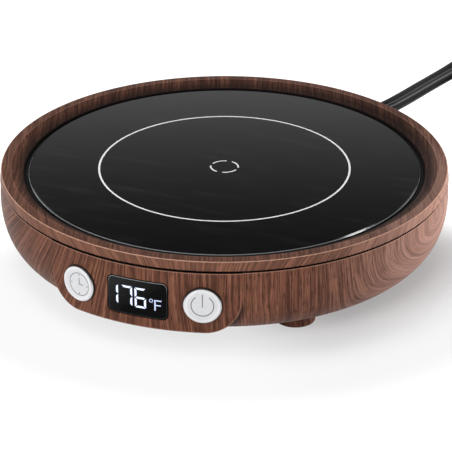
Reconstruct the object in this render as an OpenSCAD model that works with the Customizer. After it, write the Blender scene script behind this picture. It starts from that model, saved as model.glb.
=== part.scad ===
// Electric mug warmer: a low round body with a glass heating plate let into its rim, a curved
// control panel standing proud of the bowl at the front, and a flat twin-core lead at the back.
// The origin is on the table under the body's axis, +Z up, with the control panel facing -Y.

/* [Body] */
// Diameter of the rim's top edge
rim_d = 130; // [126:0.5:134]
// Height from the table to the top of the rim
body_h = 28; // [27.5:0.5:32]
// Height of the rim ring above its seam with the bowl
rim_h = 2.9; // [2.5:0.05:3.5]
// Height of the shadow gap at the seam
seam_gap = 0.45; // [0.2:0.05:0.6]
// How far the rim and the control panel stand out past the bowl at the seam
seam_step = 0.3; // [0.2:0.05:0.8]
// Wall of the bowl and of its floor
wall = 2.2; // [1.8:0.1:2.6]
// Height of the bowl's flat underside above the table
floor_z = 3.1; // [2.8:0.1:4]
// How far the bowl narrows from its top edge to its flat underside
floor_inset = 12.2; // [10:0.1:15]
// How far the bowl's side swells outwards below the seam
belly = 1.5; // [1:0.1:2.2]
// How far the bowl's side tucks in above its underside
tuck = 1.6; // [0.8:0.1:2]

/* [Rim] */
// Width of the rim's flat top land
land_w = 3; // [2:0.1:4]
// Width of the sloping collar between the land and the glass pocket
collar_w = 3.9; // [3:0.1:5]
// Fall of the sloping collar from the land to the glass pocket
collar_drop = 1.8; // [1.4:0.1:2.2]
// Wall of the rim ring's skirt and pocket
rim_wall = 2; // [1.6:0.1:2.2]
// Rounding of the rim's top outer edge
rim_edge_r = 0.4; // [0.2:0.1:0.8]
// Thickness of the ledge that carries the glass
ledge_t = 2.2; // [1.8:0.1:2.6]
// Width of the ledge under the glass
ledge_w = 6.9; // [6:0.1:8]

/* [Glass and heater] */
// Thickness of the glass plate
glass_t = 4; // [3.5:0.1:4.2]
// Height of the rim's top above the glass
glass_drop = 1.6; // [1.4:0.05:1.8]
// Gap between the glass and its pocket
glass_gap = 1.05; // [0.8:0.05:1.4]
// Bevel round the glass plate's top edge
glass_bevel = 0.4; // [0.2:0.1:0.6]
// Thickness of the silicone seal under the glass
seal_t = 0.8; // [0.5:0.1:1]
// Gap between the aluminium heater plate and the ledge round it
heater_gap = 6.2; // [5:0.1:8]
// Thickness of the aluminium heater plate
plate_t = 1.5; // [1:0.1:1.8]
// Thickness of the mica sheet that carries the heating track
mica_t = 0.6; // [0.4:0.1:0.8]
// Number of rings in the heating track
track_rings = 7; // [5:1:8]
// Thickness of the insulating pad
pad_t = 2.4; // [2:0.1:2.6]
// Sheet thickness of the heat shield
shield_t = 0.6; // [0.4:0.1:0.8]

/* [Control panel] */
// Width of the control panel across its face
panel_w = 56.4; // [54:0.2:60]
// Height of the panel from its lower edge to the bowl's top edge
panel_h = 18.3; // [17.7:0.1:18.9]
// Radius of the panel's lower corners
panel_corner_r = 9.5; // [7:0.5:11]
// Wall of the control panel
panel_wall = 2.4; // [2:0.1:2.6]
// Distance from the bowl's top edge down to the middle of the buttons and the display
control_drop = 9.7; // [9.5:0.1:10.1]
// Width of the display window
window_w = 17.5; // [15:0.5:18]
// Height of the display window
window_h = 11; // [10:0.1:11]
// Corner radius of the display window
window_corner_r = 1.6; // [0.8:0.1:2]
// Thickness of the display window
window_t = 1.5; // [1.2:0.1:1.7]

/* [Buttons] */
// Diameter of the two round buttons
button_d = 10.6; // [10:0.1:11]
// Distance between the buttons' centres across the panel
button_pitch = 36.55; // [35:0.05:38]
// How far a button's face stands proud of the panel
button_proud = 0.8; // [0.6:0.1:1.2]
// Travel of a button when it is pressed
button_travel = 0.5; // [0.3:0.05:0.6]
// Clearance round a button in its bore
button_gap = 0.2; // [0.1:0.05:0.3]

/* [Feet and screws] */
// Diameter of the moulded feet
foot_d = 11.5; // [10:0.5:14]
// Distance from the edge of the flat underside to each foot's centre
foot_inset = 3.3; // [3:0.1:8]
// Diameter of the rubber pads under the feet
pad_d = 9; // [7:0.5:9.5]
// Shank diameter of the case screws
screw_d = 2.8; // [2.4:0.1:3]
// Number of vent slots in the floor
vents = 16; // [12:1:20]

/* [Power lead] */
// Angle of the lead's exit, from +X towards the rear
exit_angle = 74.7; // [72:0.1:78]
// Distance from the bowl's top edge down to the lead's exit
exit_drop = 9; // [8.7:0.1:9.7]
// Width of the flat twin-core lead
cord_w = 6; // [5.6:0.1:6.2]
// Thickness of the flat twin-core lead
cord_t = 3.2; // [3:0.1:3.3]

/* [Hidden] */

$fn = 96;
eps = 0.01; // overlap that keeps cuts clean
fit = 0.1; // clearance between pieces that are seated in each other
skin = 0.8; // least cover of a blind screw hole

// Colours
walnut = [0.42, 0.27, 0.21];
black = [0.06, 0.06, 0.06];
dark_glass = [0.03, 0.03, 0.035];
silver = [0.82, 0.82, 0.83];
aluminium = [0.75, 0.76, 0.78];
mica = [0.72, 0.66, 0.52];
fibre = [0.88, 0.86, 0.8];
steel = [0.62, 0.63, 0.65];
copper = [0.75, 0.45, 0.28];
board_green = [0.1, 0.35, 0.2];
white = [0.93, 0.93, 0.92];

// Radii of the body
rim_r = rim_d / 2;
panel_r = rim_r + 0.3; // the rim flares by this much down to its seam
bowl_r = panel_r - seam_step;
land_r = rim_r - land_w;
floor_r = bowl_r - floor_inset;
pocket_r = land_r - collar_w;
glass_r = pocket_r - glass_gap;
pocket_out_r = pocket_r + rim_wall;
skirt_in_r = panel_r - rim_wall;
ledge_in_r = pocket_r - ledge_w;

// Heights of the body, from the top down
glass_top = body_h - glass_drop;
glass_low = glass_top - glass_t;
ledge_top = glass_low - seal_t;
ledge_low = ledge_top - ledge_t;
seam_z = body_h - rim_h;
shell_top = seam_z - seam_gap;
collar_z = body_h - collar_drop;
panel_low = shell_top - panel_h;
control_z = shell_top - control_drop;
exit_z = shell_top - exit_drop;
inner_floor = floor_z + wall;

// Bowl side: a Bezier curve from the seam down to the flat underside
belly_drop = 10.7; // how far below the seam the swell's handle lies
tuck_rise = 1; // how far above the underside the tuck's handle lies
bowl_curve = [[bowl_r, shell_top], [bowl_r + belly, shell_top - belly_drop],
    [bowl_r - tuck, floor_z + tuck_rise], [floor_r, floor_z]];
bowl_steps = 18;

// Tongue of the bowl in the groove of the rim ring
tongue_r = skirt_in_r - 0.2;
tongue_t = 1.6;
tongue_rise = 1.1;
tongue_root = 2.6;
groove_z = body_h - rim_wall;
panel_depth = 20; // how far behind the bowl's rim the panel's block starts

// Heater stack, from the glass down
heater_r = ledge_in_r - heater_gap;
plate_low = glass_low - plate_t;
mica_low = plate_low - mica_t;
track_t = 0.2;
track_low = mica_low - track_t;
shield_top = track_low - pad_t;
shield_low = shield_top - shield_t;
shield_r = heater_r + 1;
stack_inset = 1.4; // the mica and the pad are this much smaller than the heater plate
tab_w = 9;
shield_screw_angles = [45, 135, 225, 315];
boss_r = 2.8;
shield_screw_r = ledge_in_r + boss_r;
small_head_r = 2.3;
small_head_h = 1.4;
small_shank_r = 1.1;
pilot_r = small_shank_r + 0.1;

// Case screws, which rise through posts in the bowl into bosses under the rim ring
screw_angles = [90, 210, 330];
post_top = 13;
post_r = 4.4;
case_boss_r = 3.2;
screw_r = ledge_in_r + case_boss_r + fit;
well_r = 3.1;
well_top = post_top - 2.8;
head_h = 2.1;

// Feet
foot_angles = [225, 315, 135, 45];
foot_r = floor_r - foot_inset;
foot_lift = 0.3; // how far the moulded foot stays above the table
foot_edge_r = 0.6;
pad_recess = 1.2;

// Buttons: distances are measured from the body's axis along each button's own axis
button_r = button_d / 2;
button_angle = asin(button_pitch / 2 / panel_r); // from the panel's middle to each button's axis
bore_r = button_r + button_gap;
face_d = panel_r + button_proud;
seat_d = panel_r - panel_wall - 0.9;
seat_r = 7.4;
flange_r = 6.2;
flange_t = 0.9;
flange_d = seat_d - 0.15;
dish = 0.12; // hollow of a button's face
dish_rim = 1.1; // width of the raised rim round it
cap_wall = 0.9;
stem_r = 1.7;
stem_end = seat_d - 4.45;
switch_w = 6.2;
plunger_show = 1.25;
switch_d = stem_end - plunger_show; // front of the switch's case
switch_t = 3.6;
plunger_t = 2.45;
switch_well = plunger_t - plunger_show + button_travel + 0.3;
board_t = 1.6;
front_board_d = switch_d - switch_t; // front face of the board behind the switches
front_board_low = inner_floor + 2.7;
front_board_top = ledge_low - 0.6;
facet_half = 6.6; // half the length of the board's outer facets, past the button's axis

// Display
window_step = 0.8; // width of the step that the window is glued to
window_gap = 0.3; // dark gap left round the window
window_r = panel_r - 0.05; // the window's face lies just inside the panel's
display_depth = panel_r - panel_wall - 1.7;
display_w = window_w - 0.6;
display_h = min(window_h - 2.2, 2 * (ledge_low - 0.25 - control_z));

// Main board on its four standoffs, in front of the cord clamp
relief_in_d = pocket_out_r + 0.25; // the strain relief's flange clears the rim ring's pocket
clamp_run = 16.35; // from the strain relief's flange to the cord clamp
clamp_x = 8.5;
board_w = 58;
board_to_clamp = 10;
clamp_d = relief_in_d - clamp_run;
board_y = [-14, clamp_d - board_to_clamp];
standoff_h = 2.2;
board_low = inner_floor + standoff_h;
board_top = board_low + board_t;
standoff_r = 3;
standoff_x = board_w / 2 - 4;
standoff_y = [board_y[0] + 4, board_y[1] - 4];
part_room = shield_low - board_top - 1.4; // height left for the parts on the board

// Power lead
relief_tip_r = 83.8; // where the strain relief ends, just short of the route's start
exit_neck_r = 4.2;
exit_collar_r = 5.8;
exit_boss_r = 5.8;
relief_flange_t = 0.8;
relief_flange_r = exit_neck_r + 0.6;
relief_collar_t = 1.3;
boss_face_d = relief_in_d + relief_flange_t + fit;
collar_d = bowl_r + belly * 0.3 + fit; // the collar clears the bowl's swell

// Route of the lead from the strain relief to the coil, then from the coil to the plug:
// each row is a point of the centreline and the roll of the flat section in degrees
route = [
    [22.2, 81.0, 15.4, 0],
    [23.6, 86.0, 15.1, 0],
    [25.2, 95.5, 14.2, 0],
    [26.7, 107.0, 13.0, 0],
    [28.3, 119.0, 11.7, 0],
    [30.0, 130.5, 10.6, 5],
    [31.4, 138.5, 10.0, 25],
    [32.8, 147.0, 9.8, 60],
    [34.5, 155.5, 9.7, 85]];
coil_centre = [70, 148];
coil_turns = 5.55;
coil_step_turns = 0.15; // the part of a turn in which the lead steps down a layer
coil_out_r = 36.3; // centreline of the coil's outermost turn
coil_pitch = 3.3;
coil_lift = 0.6; // the tie passes under the coil here
coil_layers = 2;
coil_in_r = coil_out_r - coil_pitch * (coil_turns - coil_step_turns) / 2;
coil_h = coil_layers * (cord_w + 0.1);
coil_edge_r = 1.4;
tail = [
    [101.4, 129.9, 3.6, 90],
    [97.9, 123.0, 3.9, 80],
    [95.4, 115.6, 4.6, 50],
    [94.1, 107.9, 5.6, 20],
    [94.2, 100.2, 6.3, 0]];
plug_angle = 271; // heading of the plug from the tail's end
plug_z = 6.4;
tie_t = 0.5;
tie_w = 4;
tie_angle = 60;

// Mains plug with two flat blades
plug_l = 25;
plug_w = 21;
plug_h = 12.6;
plug_taper_l = 17;
blade_l = 17;
blade_h = 6.3;
blade_t = 1.5;
blade_pitch = 12.7;

// ---------------------------------------------------------------- helpers

function unit(v) = v / norm(v);

// Point of a cubic Bezier curve with the control points c, for t from 0 to 1
function bezier(c, t) =
    pow(1 - t, 3) * c[0] + 3 * pow(1 - t, 2) * t * c[1] + 3 * (1 - t) * t * t * c[2] + pow(t, 3) * c[3];

// Direction of travel along the same curve
function bezier_dir(c, t) =
    unit(pow(1 - t, 2) * (c[1] - c[0]) + 2 * (1 - t) * t * (c[2] - c[1]) + t * t * (c[3] - c[2]));

// Point at the distance d to the left of the curve
function beside(c, t, d) = bezier(c, t) + d * [-bezier_dir(c, t)[1], bezier_dir(c, t)[0]];

// Places children at an angle, a radius and a height
module polar(angle, radius = 0, height = 0) {
    rotate([0, 0, angle])
        translate([radius, 0, height])
            children();
}

// Turns children so that their Z axis is the outward axis of the button on one side (-1 or 1)
module on_button_axis(side) {
    rotate([0, 0, -90 + side * button_angle])
        translate([0, 0, control_z])
            rotate([0, 90, 0])
                children();
}

// Turns children so that their Z axis runs out along the lead's exit
module on_exit_axis() {
    rotate([0, 0, exit_angle])
        translate([0, 0, exit_z])
            rotate([0, 90, 0])
                children();
}

// Ring between two radii and two heights
module ring(r_out, r_in, z_low, z_high) {
    translate([0, 0, z_low])
        rotate_extrude()
            translate([r_in, 0])
                square([r_out - r_in, z_high - z_low]);
}

// Cylinder between two heights
module rod(r, z_low, z_high) {
    translate([0, 0, z_low])
        cylinder(r = r, h = z_high - z_low);
}

// Plate with round corners, centred, as a flat outline
module round_rect(w, h, r) {
    square([w - 2 * r, h], center = true);
    square([w, h - 2 * r], center = true);
    for (x = [-1, 1], y = [-1, 1])
        translate([x * (w / 2 - r), y * (h / 2 - r)])
            circle(r, $fn = 32);
}

// Extrudes an outline drawn in X and Z from one distance in front of the axis to another
module facing_front(near, far) {
    translate([0, -near, 0])
        rotate([90, 0, 0])
            linear_extrude(far - near)
                children();
}

// Unit vectors across and up a section that travels along d, level with the plane that up stands
// on, and rolls about d
function section_axes(d, up, roll) =
    let (s = unit(cross(d, up)), u = cross(s, d))
    [cos(roll) * s + sin(roll) * u, cos(roll) * u - sin(roll) * s];

// Direction of travel at point i of a route
function heading(p, i) =
    let (a = p[max(i - 1, 0)], b = p[min(i + 1, len(p) - 1)])
    unit([b[0] - a[0], b[1] - a[1], b[2] - a[2]]);

// Tube of w by t with eight sides, swept along the points of a route
module flat_tube(p, w, t, up = [0, 0, 1]) {
    sides = 8;
    n = len(p);
    points = [for (i = [0:n - 1])
        let (axes = section_axes(heading(p, i), up, len(p[i]) > 3 ? p[i][3] : 0))
        for (k = [0:sides - 1])
            let (a = 360 * (k + 0.5) / sides)
            [p[i][0], p[i][1], p[i][2]]
                + w / 2 / cos(180 / sides) * cos(a) * axes[0]
                + t / 2 / cos(180 / sides) * sin(a) * axes[1]];
    faces = [
        [for (k = [0:sides - 1]) sides - 1 - k],
        [for (k = [0:sides - 1]) (n - 1) * sides + k],
        for (i = [0:n - 2], k = [0:sides - 1], half = [0:1])
            let (a = i * sides + k, b = i * sides + (k + 1) % sides)
            half == 0 ? [a, b + sides, a + sides] : [a, b, b + sides]];
    polyhedron(points, faces);
}

// ---------------------------------------------------------------- housings

module rim_ring() {
    edge_steps = 5;
    profile = [
        [panel_r, seam_z],
        for (i = [0:edge_steps])
            let (a = 90 * i / edge_steps)
            [rim_r - rim_edge_r + rim_edge_r * cos(a), body_h - rim_edge_r + rim_edge_r * sin(a)],
        [land_r, body_h],
        [pocket_r, collar_z],
        [pocket_r, ledge_top],
        [ledge_in_r, ledge_top],
        [ledge_in_r, ledge_low],
        [pocket_out_r, ledge_low],
        [pocket_out_r, groove_z],
        [skirt_in_r, groove_z],
        [skirt_in_r, seam_z]];
    color(walnut)
        difference() {
            union() {
                rotate_extrude($fn = 180)
                    polygon(profile);
                for (a = screw_angles)
                    polar(a, screw_r)
                        rod(case_boss_r, post_top, ledge_low + eps);
                for (a = shield_screw_angles)
                    polar(a, shield_screw_r)
                        rod(boss_r, shield_top, ledge_low + eps);
            }
            for (a = screw_angles)
                polar(a, screw_r)
                    rod(screw_d / 2 + fit, post_top - 1, ledge_low + 2 * fit);
            for (a = shield_screw_angles)
                polar(a, shield_screw_r)
                    rod(pilot_r, shield_top - 1, ledge_top - skin);
        }
}

// Outline of the control panel, drawn in X and Z, made smaller all round by inset
module panel_outline(inset, top) {
    half = panel_w / 2 - inset;
    low = panel_low + inset;
    r = panel_corner_r - inset;
    translate([-half, low + r])
        square([2 * half, top - low - r]);
    translate([r - half, low])
        square([2 * (half - r), r + eps]);
    for (s = [-1, 1])
        translate([s * (half - r), low + r])
            circle(r);
}

// Bowl and control panel as one solid block
module body_block() {
    rotate_extrude($fn = 180)
        polygon([[0, floor_z], for (i = [bowl_steps:-1:0]) bezier(bowl_curve, i / bowl_steps),
            [0, shell_top]]);
    intersection() {
        rod(panel_r, panel_low, shell_top, $fn = 180);
        facing_front(bowl_r - panel_depth, panel_r + 1)
            panel_outline(0, shell_top + 1);
    }
}

// Space inside the bowl and behind the control panel
module body_cavity() {
    inner_top = beside(bowl_curve, 0, -wall);
    rotate_extrude($fn = 180)
        polygon([[0, inner_floor], for (i = [bowl_steps:-1:0]) beside(bowl_curve, i / bowl_steps, -wall),
            [inner_top[0], shell_top + 1], [0, shell_top + 1]]);
    intersection() {
        rod(panel_r - panel_wall, panel_low, shell_top + 1, $fn = 180);
        facing_front(bowl_r - panel_depth, panel_r + 1)
            panel_outline(panel_wall, shell_top + 2);
    }
}

// Plan of the front board: three facets, square to the timer button, the display and the power
// button, grown by extra on both faces
function facet_point(d, side, along) =
    let (a = -90 + side * button_angle)
    d * [cos(a), sin(a)] + along * [-sin(a), cos(a)];
function facet_corner(d, side) =
    let (a = -90 + side * button_angle / 2)
    d / cos(button_angle / 2) * [cos(a), sin(a)];
module front_board_plan(extra) {
    front = front_board_d + extra;
    rear = front_board_d - board_t - extra;
    polygon([facet_point(front, -1, -facet_half - extra), facet_corner(front, -1), facet_corner(front, 1),
        facet_point(front, 1, facet_half + extra), facet_point(rear, 1, facet_half + extra),
        facet_corner(rear, 1), facet_corner(rear, -1), facet_point(rear, -1, -facet_half - extra)]);
}

// Slotted posts that the front board stands in
module board_guides() {
    guide_r = 2.4;
    outer_h = front_board_low + 5 - inner_floor;
    inner_h = control_z - display_h / 2 - 0.65 - inner_floor; // clear of the display
    mid = front_board_d - board_t / 2;
    difference() {
        for (side = [-1, 1]) {
            translate(concat(facet_point(mid, side, side * facet_half), [inner_floor - 1]))
                cylinder(r = guide_r, h = outer_h);
            translate(concat(facet_corner(mid, side), [inner_floor - 1]))
                cylinder(r = guide_r, h = inner_h);
        }
        translate([0, 0, front_board_low])
            linear_extrude(outer_h)
                front_board_plan(fit);
    }
}

// Moulded feet with rounded lower edges
module feet() {
    steps = 4;
    r = foot_d / 2;
    for (a = foot_angles)
        polar(a, foot_r)
            rotate_extrude($fn = 64)
                polygon([[0, floor_z + 1], [0, foot_lift], for (i = [0:steps])
                    let (t = 90 * i / steps)
                    [r - foot_edge_r + foot_edge_r * sin(t), foot_lift + foot_edge_r - foot_edge_r * cos(t)],
                    [r, floor_z + 1]]);
}

// Everything that stands on the bowl's inner floor
module floor_posts() {
    for (a = screw_angles)
        polar(a, screw_r)
            rod(post_r, floor_z + 1, post_top);
    for (x = [-1, 1], y = standoff_y)
        translate([x * standoff_x, y, 0])
            rod(standoff_r, floor_z + 1, board_low);
    for (s = [-1, 1])
        polar(exit_angle, clamp_d, 0)
            translate([0, s * clamp_x, 0])
                rod(clamp_post_r, floor_z + 1, clamp_z);
    board_guides();
}

module vent_slots() {
    slot = [12, 2.2];
    slot_d = 20;
    for (i = [0:vents - 1])
        rotate([0, 0, 360 * i / vents])
            translate([slot_d, 0, floor_z - 1])
                linear_extrude(wall + 2) {
                    square(slot, center = true);
                    for (s = [-1, 1])
                        translate([s * slot[0] / 2, 0])
                            circle(slot[1] / 2, $fn = 24);
                }
}

module window_cut(extra, depth) {
    facing_front(panel_r - depth, panel_r + 2)
        translate([0, control_z])
            round_rect(window_w + 2 * extra, window_h + 2 * extra, window_corner_r + extra);
}

module base_shell() {
    color(walnut)
        difference() {
            union() {
                difference() {
                    body_block();
                    body_cavity();
                }
                ring(tongue_r, tongue_r - tongue_t, shell_top - tongue_root, shell_top + tongue_rise,
                    $fn = 180);
                intersection() {
                    union() {
                        floor_posts();
                        on_exit_axis()
                            rod(exit_boss_r, boss_face_d, bowl_r - 1);
                        for (side = [-1, 1])
                            on_button_axis(side)
                                rod(seat_r, seat_d, panel_r - 1);
                    }
                    body_block();
                }
                feet();
            }
            for (side = [-1, 1])
                on_button_axis(side) {
                    rod(bore_r, seat_d - 4, panel_r + 2);
                    rod(flange_r + button_gap, seat_d - 4, seat_d);
                }
            window_cut(-window_step, panel_wall + 4);
            difference() {
                window_cut(window_gap, panel_wall + 2);
                rod(window_r - window_t - fit, 0, body_h, $fn = 180);
            }
            on_exit_axis() {
                rod(exit_neck_r + fit, boss_face_d - 1, bowl_r + 3);
                rod(relief_flange_r + fit, relief_in_d - 1, boss_face_d);
            }
            for (a = screw_angles)
                polar(a, screw_r) {
                    rod(well_r, 0, well_top);
                    rod(screw_d / 2 + 0.2, 0, post_top + 1);
                }
            for (a = foot_angles)
                polar(a, foot_r)
                    rod(pad_d / 2 + fit, 0, foot_lift + pad_recess);
            for (x = [-1, 1], y = standoff_y)
                translate([x * standoff_x, y, 0])
                    rod(pilot_r, inner_floor + fit, board_low + 1);
            for (s = [-1, 1])
                polar(exit_angle, clamp_d, 0)
                    translate([0, s * clamp_x, 0])
                        rod(pilot_r, inner_floor + 1, clamp_z + 1);
            vent_slots();
        }
}

module foot_pad(i) {
    color(black)
        polar(foot_angles[i], foot_r)
            rod(pad_d / 2, 0, foot_lift + pad_recess, $fn = 48);
}
module foot_pad_front_left() { foot_pad(0); }
module foot_pad_front_right() { foot_pad(1); }
module foot_pad_rear_left() { foot_pad(2); }
module foot_pad_rear_right() { foot_pad(3); }

// ---------------------------------------------------------------- glass and heater

module glass_plate() {
    r = glass_r;
    arris = 0.2; // bevel round the underside
    color(dark_glass)
        rotate_extrude($fn = 180)
            polygon([[0, glass_low], [r - arris, glass_low], [r, glass_low + arris],
                [r, glass_top - glass_bevel], [r - glass_bevel, glass_top], [0, glass_top]]);
}

// Black silicone seal: a flat leg under the glass and a lip up its side
module glass_seal() {
    lip_top = glass_top - 0.8;
    lip_in = glass_r + fit;
    leg_in = ledge_in_r + 0.6;
    color(black)
        rotate_extrude($fn = 180)
            polygon([[leg_in, ledge_top], [pocket_r - fit, ledge_top], [pocket_r - fit, lip_top],
                [lip_in, lip_top], [lip_in, glass_low], [leg_in, glass_low]]);
}

module heater_plate() {
    color(aluminium)
        rod(heater_r, plate_low, glass_low, $fn = 120);
}

// Where the heater's two leads and the sensor pass down through the stack
lead_hole_at = [-14, 18];
lead_hole_r = 3.2;
sensor_hole_r = 5.2;
thermistor_r = 1.6;
module stack_holes(low, high) {
    rod(sensor_hole_r, low - 1, high + 1);
    translate(lead_hole_at)
        rod(lead_hole_r, low - 1, high + 1);
}

module mica_sheet() {
    color(mica)
        difference() {
            rod(heater_r - stack_inset, mica_low, plate_low, $fn = 120);
            rod(sensor_hole_r, mica_low - 1, plate_low + 1);
        }
}

// Flat heating ribbon: rings opened at one side and joined in turn at the other
module heating_track() {
    track_w = 2.4;
    first_r = 9;
    edge = 2;
    step = (heater_r - stack_inset - edge - first_r) / (track_rings - 1);
    opening = 5;
    cut_w = opening * 1.2 - track_w;
    color(copper)
        difference() {
            union() {
                for (i = [0:track_rings - 1])
                    ring(first_r + i * step, first_r + i * step - track_w, track_low, mica_low);
                for (i = [0:track_rings - 2])
                    translate([first_r + i * step - track_w / 2, (i % 2 == 0 ? 1 : -1) * opening, track_low])
                        translate([0, -track_w / 2, 0])
                            cube([step, track_w, track_t]);
            }
            for (i = [0:track_rings - 1])
                difference() {
                    translate([first_r + i * step - track_w - 0.3, -cut_w / 2, track_low - 1])
                        cube([track_w + 0.6, cut_w, 2]);
                    rod(first_r + i * step - track_w - 1, track_low - 1, mica_low + 1);
                }
        }
}

module insulation_pad() {
    color(fibre)
        difference() {
            rod(heater_r - stack_inset, shield_top, track_low, $fn = 96);
            stack_holes(shield_top, track_low);
        }
}

// Pressed pan that holds the stack up against the glass, with four tabs to the rim ring
module heat_shield() {
    skirt_top = mica_low;
    hole_ring_r = 32;
    hole_r = 2;
    holes = 8;
    color(steel)
        difference() {
            union() {
                rod(shield_r, shield_low, shield_top, $fn = 120);
                ring(shield_r, shield_r - shield_t, shield_low, skirt_top, $fn = 120);
                for (a = shield_screw_angles)
                    rotate([0, 0, a])
                        translate([shield_r - 2, -tab_w / 2, shield_low])
                            cube([shield_screw_r - shield_r + 2, tab_w, shield_t]);
                for (a = shield_screw_angles)
                    polar(a, shield_screw_r)
                        rod(tab_w / 2, shield_low, shield_top, $fn = 48);
            }
            stack_holes(shield_low, shield_top);
            for (a = shield_screw_angles)
                polar(a, shield_screw_r)
                    rod(small_shank_r + 0.3, shield_low - 1, shield_top + 1);
            for (i = [0:holes - 1])
                polar(360 * (i + 0.5) / holes, hole_ring_r)
                    rod(hole_r, shield_low - 1, shield_top + 1);
        }
}

// Pan-head screw seated at z_seat, with its head below it (side -1) or above it (side 1)
module screw(z_seat, side, head_r, head, shank_r, shank) {
    translate([0, 0, z_seat])
        mirror([0, 0, side < 0 ? 1 : 0]) {
            rod(head_r, 0, head);
            rod(shank_r, -shank, eps);
        }
}

module shield_screws() {
    color(steel)
        for (a = shield_screw_angles)
            polar(a, shield_screw_r)
                screw(shield_low, -1, small_head_r, small_head_h, small_shank_r, ledge_top - 1 - shield_low,
                    $fn = 32);
}

// Ceramic cup that presses the thermistor against the heater plate
module sensor_holder() {
    flange_low = shield_low - 1;
    cup_top = plate_low - 0.4;
    cup_in = thermistor_r + 2 * fit;
    cup_out = sensor_hole_r - fit;
    color(white)
        rotate_extrude($fn = 64)
            polygon([[cup_in, flange_low], [cup_out + 2, flange_low], [cup_out + 2, shield_low],
                [cup_out, shield_low], [cup_out, cup_top], [cup_in, cup_top]]);
}

module thermistor() {
    color([0.2, 0.15, 0.12])
        rod(thermistor_r, shield_top, plate_low, $fn = 32);
}

fuse_at = [17, -16];
fuse_r = 2;
module thermal_fuse() {
    case_l = 12;
    lead_l = 20;
    lead_r = 0.5;
    color(white)
        translate([fuse_at[0], fuse_at[1], shield_low - fuse_r - fit])
            rotate([0, 90, 0]) {
                cylinder(r = fuse_r, h = case_l, center = true);
                cylinder(r = lead_r, h = lead_l, center = true, $fn = 24);
            }
}

module fuse_strap() {
    strap_w = 5;
    ear_w = 5;
    strap_r = fuse_r + fit;
    color(steel)
        translate([fuse_at[0] - strap_w / 2, fuse_at[1], shield_low - fuse_r - fit])
            rotate([0, 90, 0])
                linear_extrude(strap_w) {
                    difference() {
                        union() {
                            circle(strap_r + shield_t);
                            translate([-strap_r, -strap_r - shield_t])
                                square([strap_r, 2 * (strap_r + shield_t)]);
                        }
                        circle(strap_r);
                        translate([-strap_r - 1, -strap_r])
                            square([strap_r + 1, 2 * strap_r]);
                    }
                    for (s = [-1, 1])
                        translate([-strap_r, s * (strap_r + ear_w / 2) - ear_w / 2])
                            square([shield_t, ear_w]);
                }
}

// ---------------------------------------------------------------- controls

module display_window() {
    color(dark_glass)
        difference() {
            intersection() {
                rod(window_r, 0, body_h, $fn = 180);
                window_cut(0, panel_wall + 2);
            }
            rod(window_r - window_t, -1, body_h + 1, $fn = 180);
        }
}

module display_module() {
    rear = front_board_d;
    color([0.15, 0.15, 0.16])
        facing_front(rear, display_depth)
            translate([0, control_z])
                square([display_w, display_h], center = true);
}

module front_board() {
    color(board_green)
        translate([0, 0, front_board_low])
            linear_extrude(front_board_top - front_board_low)
                front_board_plan(0);
}

// Tactile switch with a round well for its plunger
module tact_switch(side) {
    color(steel)
        on_button_axis(side)
            difference() {
                translate([-switch_w / 2, -switch_w / 2, switch_d - switch_t])
                    cube([switch_w, switch_w, switch_t]);
                rod(stem_r + 0.15, switch_d - switch_well, switch_d + 1, $fn = 48);
            }
}
module timer_switch() { tact_switch(-1); }
module power_switch() { tact_switch(1); }

// Plunger of a switch, which the button's stem pushes
module switch_plunger(side) {
    color(black)
        on_button_axis(side)
            rod(stem_r, stem_end - plunger_t, stem_end, $fn = 48);
}
module timer_plunger() { switch_plunger(-1); }
module power_plunger() { switch_plunger(1); }

// Round button: a dished cap with a bevelled rim, a flange behind the panel and a stem
module push_button(side) {
    bevel = 0.4;
    top_wall = 1.4;
    color(silver)
        on_button_axis(side)
            rotate_extrude($fn = 96)
                polygon([[0, face_d - dish], [button_r - dish_rim - 0.4, face_d - dish],
                    [button_r - dish_rim, face_d], [button_r - bevel, face_d], [button_r, face_d - bevel],
                    [button_r, flange_d], [flange_r, flange_d], [flange_r, flange_d - flange_t],
                    [button_r - cap_wall, flange_d - flange_t], [button_r - cap_wall, face_d - top_wall],
                    [stem_r, face_d - top_wall], [stem_r, stem_end], [0, stem_end]]);
}
module timer_button() { push_button(-1); }
module power_button() { push_button(1); }

// ---------------------------------------------------------------- electronics

header_y = board_y[0] + 3;
ribbon_w = 8;
ribbon_t = 1;
ribbon_rise = 3.5; // height of the ribbon over the front board's lower edge
ribbon_z = front_board_low + ribbon_rise;
header = [ribbon_w + 2, 3, 3.6];

// Places of the parts on the main board
part_gap = 0.5; // least gap between two of them
can_l = 11;
can_x = 1.9;
can_y = [-5.5, 2];
film_size = [13, 5];
film_at = [can_x + can_l - film_size[0] - 7.9, can_y[1] + 7];
chip_at = [can_x + can_l + part_gap, standoff_y[0] + small_head_r + part_gap];
transistor_at = [board_w / 2 - 11, 4];
transformer_at = [14 - board_w / 2, -2];

// Ribbon from the front board's rear header to the main board's front header
module ribbon_cable() {
    start = -(front_board_d - board_t) + header[1];
    finish = header_y - 2;
    low_z = board_top + 1.5;
    ease = (finish - start) * 0.35;
    curve = [[start, ribbon_z], [start + ease, ribbon_z], [finish - ease, low_z], [finish, low_z]];
    steps = 12;
    color([0.55, 0.55, 0.58])
        translate([-ribbon_w / 2, 0, 0])
            rotate([90, 0, 90])
                linear_extrude(ribbon_w)
                    polygon([for (i = [0:steps]) beside(curve, i / steps, ribbon_t / 2),
                        for (i = [steps:-1:0]) beside(curve, i / steps, -ribbon_t / 2)]);
}

module board_headers() {
    color(white) {
        translate([-header[0] / 2, -(front_board_d - board_t), ribbon_z - header[2] / 2])
            cube(header);
        translate([-header[0] / 2, header_y - 2, board_top])
            cube(header);
    }
}

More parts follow.
